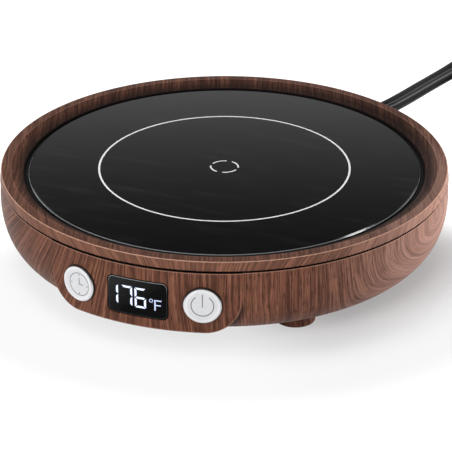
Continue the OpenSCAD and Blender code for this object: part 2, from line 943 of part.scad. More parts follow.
module main_board() {
    color(board_green)
        difference() {
            translate([0, (board_y[0] + board_y[1]) / 2, board_low])
                linear_extrude(board_t)
                    round_rect(board_w, board_y[1] - board_y[0], 3);
            for (x = [-1, 1], y = standoff_y)
                translate([x * standoff_x, y, 0])
                    rod(small_shank_r + 0.4, board_low - 1, board_top + 1, $fn = 32);
        }
}

module board_screws() {
    color(steel)
        for (x = [-1, 1], y = standoff_y)
            translate([x * standoff_x, y, 0])
                screw(board_top, 1, small_head_r, small_head_h, small_shank_r, board_t + standoff_h - 0.6,
                    $fn = 32);
}

// Transformer: winding between the legs of a laminated core
module transformer() {
    core = [15, 12, part_room];
    yoke = 2.6;
    slot_w = 3.6;
    slot_deep = 1.2;
    color([0.25, 0.25, 0.27])
        translate([transformer_at[0], transformer_at[1], board_top])
            difference() {
                translate([-core[0] / 2, -core[1] / 2, 0])
                    cube(core);
                for (s = [-1, 1])
                    translate([s * core[0] / 4 - slot_w / 2, -core[1] / 2 + yoke, core[2] - slot_deep])
                        cube([slot_w, core[1] - 2 * yoke, slot_deep + 1]);
            }
}

module capacitors() {
    can_r = (part_room - 0.4) / 2;
    color([0.16, 0.22, 0.42]) {
        for (y = can_y)
            translate([can_x, y, board_top + can_r])
                rotate([0, 90, 0])
                    cylinder(r = can_r, h = can_l, $fn = 48);
        translate([film_at[0], film_at[1], board_top])
            cube([film_size[0], film_size[1], part_room - 0.2]);
    }
}

module power_transistor() {
    case = [9.8, 9, part_room - 2.2];
    tab = [9.8, 6, 1.3];
    color([0.12, 0.12, 0.13])
        translate([transistor_at[0], transistor_at[1], board_top]) {
            cube(case);
            translate([0, case[1], 0])
                cube(tab);
        }
}

module board_fuse() {
    case_r = 2.4;
    case_l = 12;
    at = [5 - board_w / 2, standoff_y[1] - 18];
    color(white)
        translate([at[0], at[1], board_top + case_r])
            rotate([-90, 0, 0])
                cylinder(r = case_r, h = case_l, $fn = 48);
}

module control_chip() {
    chip = [7.6, 10, 1.8];
    color([0.1, 0.1, 0.11])
        translate([chip_at[0], chip_at[1], board_top])
            cube(chip);
}

// Two-pole terminal block with an entry for each conductor
terminal_at = [8, board_y[1] - 7];
terminal_pitch = 5;
terminal_z = 3.2; // height of the entries above the board
module terminal_block() {
    size = [11, 8, part_room];
    entry_r = core_r + 0.3;
    entry_l = 4;
    screw_head_r = 1.8;
    color([0.15, 0.4, 0.25])
        translate([terminal_at[0], terminal_at[1], board_top])
            difference() {
                translate([-size[0] / 2, -size[1] / 2, 0])
                    cube(size);
                for (s = [-0.5, 0.5])
                    translate([s * terminal_pitch, size[1] / 2 - entry_l, terminal_z])
                        rotate([-90, 0, 0])
                            cylinder(r = entry_r, h = entry_l + 1, $fn = 32);
                for (s = [-0.5, 0.5])
                    translate([s * terminal_pitch, 0, size[2] - 1])
                        cylinder(r = screw_head_r, h = 2, $fn = 32);
            }
}

// ---------------------------------------------------------------- inner leads

wire_r = 0.8;

module heater_leads() {
    color([0.85, 0.85, 0.8])
        for (s = [-1, 1]) {
            x = lead_hole_at[0] + s * 1.4;
            y = lead_hole_at[1];
            flat_tube([[x, y, track_low - fit], [x, y, shield_low - 1], [x - 1, y + 2, shield_low - 3],
                [x - 2, y + 4, board_top + 3], [x - 2, y + 4, board_top]], 2 * wire_r, 2 * wire_r, [1, 0, 0]);
        }
}

module sensor_leads() {
    color([0.75, 0.2, 0.15])
        for (s = [-1, 1])
            flat_tube([[s * 0.9, 0, shield_top - fit], [s, 0, shield_low - 2], [s - 1, -1.5, shield_low - 4],
                [s - 2.6, -3.2, board_top + 2.5], [s - 2.6, -3.2, board_top]], 0.9, 0.9, [1, 0, 0]);
}

// Cord clamp: a bar over the two mains conductors, screwed to two posts in the bowl
clamp_post_r = 3.2;
core_r = 1.3;
core_pitch = 3;
clamp_groove_h = 2 * (core_r + fit);
clamp_bar_t = 1.8;
clamp_top = shield_low - small_head_h - 0.5;
clamp_z = clamp_top - clamp_bar_t - clamp_groove_h;

// The lead's two insulated cores, from the strain relief under the clamp to the terminal block
module mains_leads() {
    out = [cos(exit_angle), sin(exit_angle)];
    across = [-sin(exit_angle), cos(exit_angle)];
    color([0.2, 0.2, 0.2])
        for (s = [-0.5, 0.5]) {
            side = s * core_pitch * across;
            entry = [terminal_at[0] - s * terminal_pitch, terminal_at[1] + 0.2];
            a = (relief_in_d - fit) * out + side;
            b = (relief_in_d - 2) * out + side;
            c = (relief_in_d - 6) * out + side;
            d = (clamp_d + 3) * out + side;
            e = (clamp_d - 3) * out + side;
            clamped_z = clamp_z + core_r + fit;
            flat_tube([[a[0], a[1], exit_z], [b[0], b[1], exit_z], [c[0], c[1], exit_z - 1.2],
                [d[0], d[1], clamped_z], [e[0], e[1], clamped_z],
                [entry[0], entry[1] + 9, board_top + terminal_z],
                [entry[0], entry[1] + 0.5, board_top + terminal_z]], 2 * core_r, 2 * core_r);
        }
}

module clamp_bar() {
    bar = [5.2, 2 * (clamp_x + clamp_post_r), clamp_top - clamp_z];
    groove_w = core_pitch + 2 * core_r + 4 * fit;
    color(black)
        polar(exit_angle, clamp_d, 0)
            difference() {
                translate([-bar[0] / 2, -bar[1] / 2, clamp_z])
                    cube(bar);
                translate([-bar[0], -groove_w / 2, clamp_z - 1])
                    cube([2 * bar[0], groove_w, clamp_groove_h + 1]);
                for (s = [-1, 1])
                    translate([0, s * clamp_x, 0])
                        rod(small_shank_r + 0.4, clamp_z - 1, clamp_top + 1, $fn = 32);
            }
}

module clamp_screws() {
    color(steel)
        polar(exit_angle, clamp_d, 0)
            for (s = [-1, 1])
                translate([0, s * clamp_x, 0])
                    screw(clamp_top, 1, small_head_r, small_head_h, small_shank_r,
                        clamp_top - inner_floor - 1.4, $fn = 32);
}

module case_screws() {
    color(steel)
        for (a = screw_angles)
            polar(a, screw_r)
                screw(well_top, -1, well_r - 0.4, head_h, screw_d / 2, ledge_low - well_top, $fn = 40);
}

// ---------------------------------------------------------------- power lead

// Flat section of the lead as an outline, w by t
module flat_section(w, t) {
    square([w - t, t], center = true);
    for (s = [-1, 1])
        translate([s * (w - t) / 2, 0])
            circle(d = t, $fn = 24);
}

// Tapered boot with flex ribs outside, and the neck and flange that hold it in the bowl's wall
module strain_relief() {
    bands = 10; // ribs and the grooves between them
    root = collar_d + relief_collar_t;
    band_l = (relief_tip_r - root) / bands;
    groove = [0.9, 0.7];
    least = [cord_w + 0.3, cord_t + 0.3];
    start = [8.6, 7.2];
    finish = [cord_w + 0.9, cord_t + 1];
    color(black)
        on_exit_axis() {
            rod(relief_flange_r, relief_in_d, relief_in_d + relief_flange_t);
            rod(exit_neck_r, relief_in_d, collar_d);
            rod(exit_collar_r, collar_d, root);
            for (i = [0:bands - 1]) {
                full = start + (finish - start) * i / (bands - 1);
                size = i % 2 == 0 ? full : full - groove;
                translate([0, 0, root + i * band_l - eps])
                    linear_extrude(band_l + eps)
                        rotate([0, 0, 90])
                            flat_section(max(size[0], least[0]), max(size[1], least[1]));
            }
        }
}

module power_cord() {
    color(black)
        flat_tube(route, cord_w, cord_t);
}

// Outer shape of the coiled lead
module cord_coil() {
    low_r = coil_in_r - cord_t / 2;
    high_r = coil_out_r + cord_t / 2;
    color(black)
        translate([coil_centre[0], coil_centre[1], coil_lift])
            rotate_extrude($fn = 96)
                translate([(low_r + high_r) / 2, coil_h / 2])
                    round_rect(high_r - low_r, coil_h, coil_edge_r);
}

module cord_tail() {
    color(black)
        flat_tube(tail, cord_w, cord_t);
}

// Strap round the coil's bundle of turns
module cord_tie() {
    low_r = coil_in_r - cord_t / 2 - 0.15;
    high_r = coil_out_r + cord_t / 2 + 0.15;
    mid = (low_r + high_r) / 2;
    color(black)
        translate([coil_centre[0], coil_centre[1], 0])
            rotate([0, 0, tie_angle])
                translate([mid, tie_w / 2, coil_lift + coil_h / 2])
                    rotate([90, 0, 0])
                        linear_extrude(tie_w)
                            difference() {
                                round_rect(high_r - low_r + 2 * tie_t, coil_h + 0.1 + 2 * tie_t, 1.2);
                                round_rect(high_r - low_r, coil_h + 0.1, 0.8);
                            }
}

// Puts children at the tail's end with their X axis along the plug
module at_plug() {
    tip = tail[len(tail) - 1];
    translate([tip[0], tip[1], plug_z])
        rotate([0, 0, plug_angle])
            children();
}

// Slice of the plug from x on, l long
module plug_slice(x, l) {
    translate([x, 0, 0])
        rotate([90, 0, 90])
            linear_extrude(l)
                children();
}

// Moulded plug: a tapered sleeve that swells into a flat grip
module plug_body() {
    grip_r = 3.5;
    waist = [13, 10];
    shoulder_l = 5;
    color(black)
        at_plug() {
            hull() {
                plug_slice(0.3, 0.5)
                    flat_section(cord_w + 1, cord_t + 1);
                plug_slice(plug_taper_l, 0.5)
                    flat_section(waist[0] - 2.5, waist[1] - 2);
            }
            hull() {
                plug_slice(plug_taper_l - 1, 1)
                    flat_section(waist[0], waist[1]);
                plug_slice(plug_taper_l + shoulder_l, plug_l - shoulder_l)
                    round_rect(plug_w, plug_h, grip_r);
            }
        }
}

module plug_blades() {
    hole_d = 3;
    color([0.78, 0.66, 0.38])
        at_plug()
            for (s = [-1, 1])
                translate([plug_taper_l + plug_l, s * blade_pitch / 2 + blade_t / 2, 0])
                    rotate([90, 0, 0])
                        linear_extrude(blade_t)
                            difference() {
                                union() {
                                    translate([0, -blade_h / 2])
                                        square([blade_l - 1.5, blade_h]);
                                    translate([0, -blade_h / 2 + 1.5])
                                        square([blade_l, blade_h - 3]);
                                    for (t = [-1, 1])
                                        translate([blade_l - 1.5, t * (blade_h / 2 - 1.5)])
                                            circle(1.5, $fn = 24);
                                }
                                translate([blade_l - 5, 0])
                                    circle(d = hole_d, $fn = 24);
                            }
}

// ---------------------------------------------------------------- assembly

rim_ring();
base_shell();
glass_plate();
glass_seal();
heater_plate();
mica_sheet();
heating_track();
insulation_pad();
heat_shield();
shield_screws();
sensor_holder();
thermistor();
thermal_fuse();
fuse_strap();
display_window();
display_module();
front_board();
timer_switch();
power_switch();
timer_button();
power_button();
timer_plunger();
power_plunger();
ribbon_cable();
main_board();
transformer();
capacitors();
power_transistor();
board_fuse();
control_chip();
terminal_block();
board_headers();
board_screws();
heater_leads();
sensor_leads();
mains_leads();
clamp_bar();
clamp_screws();
case_screws();
foot_pad_front_left();
foot_pad_front_right();
foot_pad_rear_left();
foot_pad_rear_right();
strain_relief();
power_cord();
cord_coil();
cord_tail();
cord_tie();
plug_body();
plug_blades();
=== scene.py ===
"""Dresses the electric mug warmer: wood-print housing, glass hotplate, lit window, silver keys, twin-core lead."""

import logging
import math
import operator
from dataclasses import dataclass, field
from enum import Enum
from functools import reduce
from typing import Any, ClassVar, Iterable, Mapping, NamedTuple, Sequence

import bpy
import numpy as np
from bpy.types import Material, Node, NodeSocket, Object
from mathutils import Matrix

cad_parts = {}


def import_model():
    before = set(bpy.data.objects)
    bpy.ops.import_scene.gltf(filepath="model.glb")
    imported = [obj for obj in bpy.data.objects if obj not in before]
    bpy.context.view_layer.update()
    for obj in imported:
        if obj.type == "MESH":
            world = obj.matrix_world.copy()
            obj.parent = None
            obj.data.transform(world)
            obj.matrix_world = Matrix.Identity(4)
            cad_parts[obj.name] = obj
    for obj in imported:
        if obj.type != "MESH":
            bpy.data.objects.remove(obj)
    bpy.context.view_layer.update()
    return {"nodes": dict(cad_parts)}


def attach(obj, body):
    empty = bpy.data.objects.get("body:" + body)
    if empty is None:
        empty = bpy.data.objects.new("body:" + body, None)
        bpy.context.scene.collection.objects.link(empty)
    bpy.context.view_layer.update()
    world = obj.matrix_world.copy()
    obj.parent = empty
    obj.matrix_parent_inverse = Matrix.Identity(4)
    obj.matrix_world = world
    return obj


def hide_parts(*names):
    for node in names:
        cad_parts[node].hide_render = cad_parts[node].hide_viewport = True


LOG = logging.getLogger("mug_warmer")
MM = 0.001
Grid = np.ndarray
Pair = tuple[float, float]
Row = tuple[float, float, float, float]
Colour = Row
Values = Mapping[Any, Any]
Coats = ClassVar[Sequence[tuple[Any, ...]]]
WHITE: Colour = (1.0, 1.0, 1.0, 1.0)
BLACK: Colour = (0.0, 0.0, 0.0, 1.0)


def paint(red: int, green: int, blue: int) -> Colour:
    """Turns an 8-bit colour into a linear one with full alpha.

    Args:
        red: Red, 0 to 255.
        green: Green, 0 to 255.
        blue: Blue, 0 to 255.

    Returns:
        The linear colour.
    """
    part = np.array([red, green, blue]) / 255
    linear = np.where(part <= 0.04045, part / 12.92, ((part + 0.055) / 1.055) ** 2.4)
    return (*linear.tolist(), 1.0)


def tint(tone: Colour, share: float, lift: float = 0.0) -> Colour:
    """Scales a linear colour and lifts it, to 1 at most."""
    return (*(min(1.0, part * share + lift) for part in tone[:3]), 1.0)


# Shader arithmetic


class Signal:
    """A shader value: arithmetic on it adds the Math nodes that the expression names."""

    def __init__(self, bench: "Bench", socket: NodeSocket) -> None:
        """Wraps an output socket of the bench's tree."""
        self.bench, self.socket = bench, socket

    def math(self, operation: str, *others: Any, first: Any = None) -> "Signal":
        """Adds one Math node.

        Args:
            operation: Its operation.
            *others: The values after this one.
            first: A value before this one, for the reflected forms.

        Returns:
            Its result.
        """
        terms = [self, *others] if first is None else [first, self, *others]
        return self.bench.signal("ShaderNodeMath", {"operation": operation}, dict(enumerate(terms)))

    def __add__(self, other: Any) -> "Signal":
        """Adds."""
        return self.math("ADD", other)

    def __sub__(self, other: Any) -> "Signal":
        """Subtracts."""
        return self.math("SUBTRACT", other)

    def __rsub__(self, other: Any) -> "Signal":
        """Subtracts this signal from a number."""
        return self.math("SUBTRACT", first=other)

    def __mul__(self, other: Any) -> "Signal":
        """Multiplies."""
        return self.math("MULTIPLY", other)

    def __truediv__(self, other: Any) -> "Signal":
        """Divides."""
        return self.math("DIVIDE", other)

    def __pow__(self, other: Any) -> "Signal":
        """Raises to a power."""
        return self.math("POWER", other)

    def __abs__(self) -> "Signal":
        """Drops the sign."""
        return self.math("ABSOLUTE")

    __radd__, __rmul__ = __add__, __mul__

    def least(self, other: Any) -> "Signal":
        """Keeps the lower of two values."""
        return self.math("MINIMUM", other)

    def most(self, other: Any) -> "Signal":
        """Keeps the higher of two values."""
        return self.math("MAXIMUM", other)

    def ramp(self, low: float, high: float) -> "Signal":
        """Eases from 0 to 1.

        Args:
            low: The value at which it is 0.
            high: The value at which it is 1, above or below the other.

        Returns:
            The eased value.
        """
        ends = {0: self, 1: min(low, high), 2: max(low, high)}
        eased = self.bench.signal("ShaderNodeMapRange", {"interpolation_type": "SMOOTHSTEP"}, ends)
        return eased if low < high else 1 - eased

    def band(self, middle: float, half: float) -> "Signal":
        """Is 1 at middle and eases to 0 at half on either side."""
        return abs(self - middle).ramp(half, 0.0)


class Spot(NamedTuple):
    """A surface point in millimetres, in the object's own frame."""

    x: Signal
    y: Signal
    z: Signal

    def by(self, *pitch: float) -> list[Signal]:
        """Scales it by one number, or by one for each of its three."""
        return [part * share for part, share in zip(self, pitch * 3 if len(pitch) == 1 else pitch)]

    def reach(self) -> Signal:
        """Gives its distance from the housing's axis."""
        return (self.x * self.x + self.y * self.y) ** 0.5

    def toward(self, azimuth: float) -> Signal:
        """Gives how far it lies from the housing's axis in one direction, counted from x in degrees."""
        turn = math.radians(azimuth)
        return self.x * math.cos(turn) + self.y * math.sin(turn)


class Bench:
    """The node tree of one material or world, and the few ways in which nodes are added to it."""

    def __init__(self, name: str, owners: Any = None) -> None:
        """Opens an empty tree.

        Args:
            name: The name of the new material or world.
            owners: Blender's list in which it is made, materials unless told otherwise.
        """
        self.owner = (bpy.data.materials if owners is None else owners).new(name)
        self.owner.use_nodes = True
        self.tree = self.owner.node_tree
        self.tree.nodes.clear()

    def node(self, kind: str, settings: Values = {}, inputs: Values = {}) -> Node:
        """Adds a node.

        Args:
            kind: Its type.
            settings: Its properties, which are set first.
            inputs: Its sockets' values or links, by name or index.

        Returns:
            The node.
        """
        made = self.tree.nodes.new(kind)
        for name, value in settings.items():
            setattr(made, name, value)
        for key, value in inputs.items():
            if isinstance(value, (Signal, NodeSocket)):
                self.tree.links.new(getattr(value, "socket", value), made.inputs[key])
            else:
                made.inputs[key].default_value = value
        return made

    def signal(self, kind: str, settings: Values = {}, inputs: Values = {}, output: Any = 0) -> Signal:
        """Adds a node and wraps one of its outputs."""
        return Signal(self, self.node(kind, settings, inputs).outputs[output])

    def _split(self, vector: Signal) -> list[Signal]:
        """Parts a vector into its three numbers."""
        return [Signal(self, part) for part in self.node("ShaderNodeSeparateXYZ", inputs={0: vector}).outputs]

    def _join(self, spot: Iterable[Any]) -> Signal:
        """Joins three numbers or signals into a vector."""
        return self.signal("ShaderNodeCombineXYZ", inputs=dict(enumerate(spot)))

    def place(self, kind: str = "Object", unit: float = MM) -> Spot:
        """Gives the surface point in one of the coordinate frames, in millimetres or in another unit in metres."""
        spot = {0: self.signal("ShaderNodeTexCoord", output=kind), "Scale": 1 / unit}
        return Spot(*self._split(self.signal("ShaderNodeVectorMath", {"operation": "SCALE"}, spot)))

    def noise(self, spot: Iterable[Any], detail: float = 2.0, rough: float = 0.5, twist: float = 0.0) -> Signal:
        """Samples a cloudy noise.

        Args:
            spot: Three numbers or signals; one unit is one blotch.
            detail: Octaves of finer noise.
            rough: Strength of the finer octaves.
            twist: How far the noise bends itself.

        Returns:
            The noise, from 0 to 1.
        """
        values = {"Vector": self._join(spot), "Scale": 1.0, "Detail": detail, "Roughness": rough, "Distortion": twist}
        return self.signal("ShaderNodeTexNoise", inputs=values)

    def specks(self, spot: Iterable[Any]) -> Signal:
        """Gives the distance to the nearest of many scattered points, one to a unit cell."""
        return self.signal("ShaderNodeTexVoronoi", inputs={"Vector": self._join(spot), "Scale": 1.0}, output="Distance")

    def blend(self, mask: Any, low: Any, high: Any) -> Signal:
        """Mixes two colours; a mask of 0 gives low and of 1 gives high."""
        return self.signal("ShaderNodeMix", {"data_type": "RGBA"}, {0: mask, 6: low, 7: high}, output=2)

    def bump(self, height: Signal, depth: float, flat: Signal | None = None) -> Signal:
        """Turns a height into a normal.

        Args:
            height: The height, from 0 to 1.
            depth: What a height of 1 stands for, in millimetres.
            flat: Share of the face's own normal, which keeps a shallow crease sharp.

        Returns:
            The normal.
        """
        values = {"Height": height, "Distance": depth * MM}
        if flat is not None:
            geometry = self.node("ShaderNodeNewGeometry").outputs
            sides = {0: flat, 4: geometry["Normal"], 5: geometry["True Normal"]}
            values["Normal"] = self.signal("ShaderNodeMix", {"data_type": "VECTOR"}, sides, output=1)
        return self.signal("ShaderNodeBump", inputs=values)

    def rays(self, *kinds: str) -> Signal:
        """Is 1 on rays of these kinds."""
        paths = self.node("ShaderNodeLightPath").outputs
        return reduce(Signal.most, [Signal(self, paths[f"Is {kind} Ray"]) for kind in kinds])

    def either(self, share: Signal, first: Signal, second: Signal) -> Signal:
        """Mixes two shaders; a share of 0 gives the first."""
        return self.signal("ShaderNodeMixShader", inputs={0: share, 1: first, 2: second})

    def close(self, shader: Mapping[str, Any]) -> Material:
        """Ends the tree in a Principled shader with these socket values or signals."""
        self.node("ShaderNodeOutputMaterial", inputs={0: self.signal("ShaderNodeBsdfPrincipled", inputs=shader)})
        return self.owner


# Finishes


class Part(Enum):
    """Which moulding a wood print is on."""

    BOWL = "bowl"
    RIM = "rim"


@dataclass(frozen=True)
class WalnutPrint:
    """Printed walnut grain under a satin lacquer, with painted shade, painted highlights and a painted sheen.

    The grain follows lines of equal distance from a knot on the housing's side: beside the knot they nest as
    arches, and further round they run down the side. On the rim's outer face they lean, and on its top they are
    straight. A row of strands gives how often a layer repeats across and along the lines, a number that sets it
    apart, and the noise's detail and roughness.
    """

    part: Part
    radius: float = 65.0
    knot_azimuth: float = 89.2
    knot_z: float = 22.0
    arch_near: float = 2.2
    arch_far: float = 0.8
    top_azimuth: float = 21.5
    top_r: float = 64.5
    top_z: float = 28.0
    land_r: float = 62.0
    collar_r: float = 58.7
    seam_z: float = 25.1
    shell_z: float = 24.65
    panel_half: float = 28.2
    panel_low: float = 6.35
    panel_corner: float = 9.5
    strands: tuple[tuple[float, ...], ...] = (
        (0.15, 0.012, 3.1, 2.0, 0.6),
        (1.35, 0.035, 7.7, 2.0, 0.5),
        (3.0, 0.07, 1.3, 1.0, 0.5),
        (4.4, 0.3, 5.9, 1.0, 0.5),
    )
    mid: Colour = paint(130, 84, 65)
    pale: Colour = paint(154, 105, 83)
    dark: Colour = paint(78, 46, 34)
    pore: Colour = paint(50, 30, 23)
    # painted sheen, which pales the print near the knot
    painted_sheen: Colour = paint(188, 149, 136)
    # painted highlight on rounded edges, the panel's edge, the bowl's lip and the rim's outer face
    edge: Colour = paint(205, 160, 138)
    # painted shade on the rim's top and collar, and in the seam and the panel's crease
    painted_shade: Colour = paint(14, 9, 8)

    def _ring(self, bench: Bench, at: Spot) -> tuple[Signal, Signal, Signal]:
        """Works out the place on the grain, in millimetres.

        Args:
            bench: The material's bench.
            at: The surface point.

        Returns:
            The place across the grain, the place along it and the way round from the knot. On the bowl the first is the
            root of the squares of the way round and the way down.
        """
        angle = abs(at.toward(self.knot_azimuth).math("ARCTAN2", at.toward(self.knot_azimuth - 90)))
        sway = bench.noise(at.by(0.035, 0.035, 0.025), detail=1.0) * 4.0 - 2.0
        wobble = bench.noise(at.by(0.2, 0.2, 0.05), detail=1.0) * 0.4 - 0.2
        round_way = angle * self.radius
        if self.part is Part.RIM:
            # beside the knot the lines lean one way, and further round the other
            lean = ((1.3 - angle) * 2.1).least(0.9).most(-1.3)
            ring = round_way + lean * (at.z - self.seam_z)
            top = at.reach().ramp(self.top_r + 0.1, self.top_r)
            ring = ring + (at.toward(self.top_azimuth) - ring) * top
            return ring + sway + wobble, at.z + (at.toward(self.top_azimuth + 90) - at.z) * top, round_way
        # the arches flatten out with the way round, and the streaks lean at the back
        down = at.z - self.knot_z
        steep = self.arch_near - round_way.ramp(20.0, 52.0) * (self.arch_near - self.arch_far)
        lean = angle.ramp(1.45, 2.4) * 1.15
        ring = (round_way * round_way + (down.least(0.0) * steep) ** 2) ** 0.5
        return ring + lean * (down + 12) + sway + wobble, down, round_way

    def make(self) -> Material:
        """Builds the material.

        Returns:
            The material; near the knot a painted sheen makes it paler and its grain fainter.
        """
        bench = Bench(f"walnut_print_{self.part.value}")
        at = bench.place()
        ring, down, round_way = self._ring(bench, at)
        bands, lines, threads, pores = (
            bench.noise((ring * across, down * along, apart), detail, rough)
            for across, along, apart, detail, rough in self.strands
        )
        # near the knot a painted sheen pales the print and weakens its grain
        near = round_way.ramp(62.0, 14.0)
        depth = 1 - near * 0.45
        colour = bench.blend(near * 0.6, self.mid, self.painted_sheen)
        layers = (
            (bands.ramp(0.36, 0.66), 0.5, self.dark), (lines.ramp(0.47, 0.36), 0.6, self.pale),
            (lines.ramp(0.53, 0.6), 0.75, self.dark), (threads.ramp(0.53, 0.62), 0.8, self.dark),
            (pores.ramp(0.56, 0.67), 0.7, self.pore),
        )
        for mask, share, tone in layers:
            colour = bench.blend(mask * depth * share, colour, tone)
        # painted shade and painted highlights from the moulding's own masks
        painted_shade, painted_highlight = self._rim_shade(at) if self.part is Part.RIM else self._bowl_shade(at)
        colour = bench.blend(painted_shade.least(1.0), colour, self.painted_shade)
        painted_highlight = (painted_highlight * (0.65 + threads * 0.5)).least(1.0)
        rough = threads * 0.12 - painted_highlight * 0.1 + 0.4 + painted_shade.ramp(0.9, 1.0) * 0.55
        flat = None
        if self.part is Part.RIM:
            rough = rough + at.reach().ramp(self.land_r, self.land_r - 0.1) * 0.3
            flat = at.reach().ramp(self.top_r - 0.1, self.top_r - 0.2)
        return bench.close({
            "Base Color": bench.blend(painted_highlight, colour, self.edge),
            "Roughness": rough.least(1.0),
            "Normal": bench.bump(threads * 0.5 + lines * 0.5 - pores.ramp(0.6, 0.74) * 0.35, 0.04, flat),
            "Specular IOR Level": 0.1,
        })

    def _rim_shade(self, at: Spot) -> tuple[Signal, Signal]:
        """Paints shade on the top land, the collar, its foot and the seam, and painted highlights on the rounded edges
        and the outer face.

        Args:
            at: The surface point.

        Returns:
            The painted shade's share and the painted highlight's share.
        """
        reach, land, foot = at.reach(), self.land_r, self.collar_r
        # painted shade on the top land and on the slope down to the collar
        top = at.z.ramp(self.top_z - 0.5, self.top_z - 0.2).most(reach.ramp(land + 0.3, land - 0.1))
        # painted shade along the seam's gap
        seam = at.z.ramp(self.seam_z + 0.2, self.seam_z + 0.14)
        # painted shade, deeper on the collar's slope on one side
        shaded_side = at.toward(self.top_azimuth).ramp(5.0, 50.0) * reach.ramp(foot + 0.1, foot + 1.7)
        slope = reach.ramp(land + 0.02, land - 0.05) * (0.26 + shaded_side * 0.13) + reach.ramp(land - 0.4, foot + 0.3) * 0.24
        # painted shade deepest at the collar's foot by the glass
        painted_shade = (top * 0.36 + slope + reach.ramp(foot, foot - 0.5) * 0.4).most(seam)
        # painted highlights: along the outer rounded edge, faintly at the land's inner edge, and lightly over the outer
        # face
        arris = self.top_r + self.top_z
        outer = (reach + at.z).ramp(arris + 0.17, arris + 0.25) * reach.ramp(self.top_r, self.top_r + 0.2)
        inner = reach.band(land + 0.1, 0.2) * at.z.ramp(self.top_z - 0.4, self.top_z - 0.15) * 0.14
        face = reach.ramp(self.top_r + 0.2, self.top_r + 0.3) * at.z.ramp(self.seam_z + 0.2, self.seam_z + 0.4) * 0.11
        return painted_shade, outer.most(inner).most(face) * 0.8

    def _bowl_shade(self, at: Spot) -> tuple[Signal, Signal]:
        """Paints shade in the panel's crease and the seam, and painted highlights along the panel's edge and the lip.

        Args:
            at: The surface point.

        Returns:
            The painted shade's share and the painted highlight's share, from the distance to the panel's rounded
            outline.
        """
        across = (abs(at.x) - (self.panel_half - self.panel_corner)).most(0.0)
        under = ((self.panel_low + self.panel_corner) - at.z).most(0.0)
        outline = (across * across + under * under) ** 0.5 - self.panel_corner
        front = at.y.ramp(-20.0, -24.0)
        # painted shade in the crease beside the panel's lower sides, at the front
        crease = outline.ramp(-0.08, 0.0) * outline.ramp(2.2, 0.1) * front * at.z.ramp(18.5, 12.0) * 0.7
        proud = at.reach().ramp(self.radius + 0.12, self.radius + 0.25)
        # painted highlight along the panel's proud lower edge
        fold = outline.band(-0.15, 0.15) * proud * at.z.ramp(17.0, 11.0) * 0.5
        # painted shade along the seam's gap
        seam = at.z.ramp(self.shell_z - 0.1, self.shell_z - 0.04)
        # painted highlight on the bowl's top edge under the seam
        lip = at.z.band(self.shell_z - 0.25, 0.16) * at.reach().ramp(self.radius - 1.0, self.radius - 0.5) * 0.55
        return crease.most(seam), fold.most(lip)


@dataclass(frozen=True)
class Moulded:
    """Moulded plastic or rubber with a fine spark-eroded grain and paler rubbed spots."""

    name: str
    tone: Colour
    rough: float = 0.45
    grain: float = 2.6
    depth: float = 0.03
    shade: float = 0.25
    specular: float = 0.5

    def make(self) -> Material:
        """Builds the material.

        Returns:
            The material, whose tone drifts to either side.
        """
        bench = Bench(self.name)
        at = bench.place()
        cloud = bench.noise(at.by(0.12), detail=3.0)
        fine = bench.noise(at.by(self.grain))
        mask = cloud.ramp(0.3, 0.7) * 0.6 + fine * 0.4
        return bench.close({
            "Base Color": bench.blend(mask, tint(self.tone, 1 - self.shade), tint(self.tone, 1 + self.shade, 0.008)),
            "Roughness": (self.rough - 0.08) + cloud * 0.1 + fine * 0.06,
            "Normal": bench.bump(fine, self.depth),
            "Specular IOR Level": self.specular,
        })


@dataclass(frozen=True)
class SilverPaint:
    """Satin silver lacquer on a key, with fine flake, a painted highlight on its rim and painted shade on its side wall
    and upper edge.
    """

    name: str
    azimuth: float
    height: float
    radius: float = 5.3
    tone: Colour = paint(238, 238, 240)
    deep: Colour = paint(216, 217, 219)
    # painted highlight on the rim
    rim_highlight: Colour = paint(250, 250, 251)
    # painted shade on the side wall
    wall: Colour = paint(44, 36, 33)

    def make(self) -> Material:
        """Builds the material.

        Returns:
            The material, whose rim is a band round the key's axis.
        """
        bench = Bench(self.name)
        at = bench.place()
        across, upward = at.toward(self.azimuth), at.z - self.height
        away = (across * across + upward * upward) ** 0.5 - self.radius
        flake = bench.noise(at.by(9.0), detail=1.0)
        drift = bench.noise(at.by(0.25, 0.25, 0.4), detail=1.0)
        # painted highlight round the face's rim
        rim = away.band(-0.75, 0.45)
        # painted shade on the side wall and along the face's upper edge
        side = away.ramp(-0.06, -0.01).most(away.ramp(-0.3, -0.2) * upward.ramp(0.5, 3.0))
        colour = bench.blend(flake.ramp(0.3, 0.75) * 0.6 + drift * 0.4, self.deep, self.tone)
        colour = bench.blend(rim * 0.6, colour, self.rim_highlight)
        return bench.close({
            "Base Color": bench.blend(side, colour, self.wall),
            "Roughness": 0.34 + flake * 0.12 - rim * 0.08,
            "Metallic": flake.ramp(0.55, 0.8) * 0.2 * (1 - side),
            "Normal": bench.bump(flake, 0.012),
        })


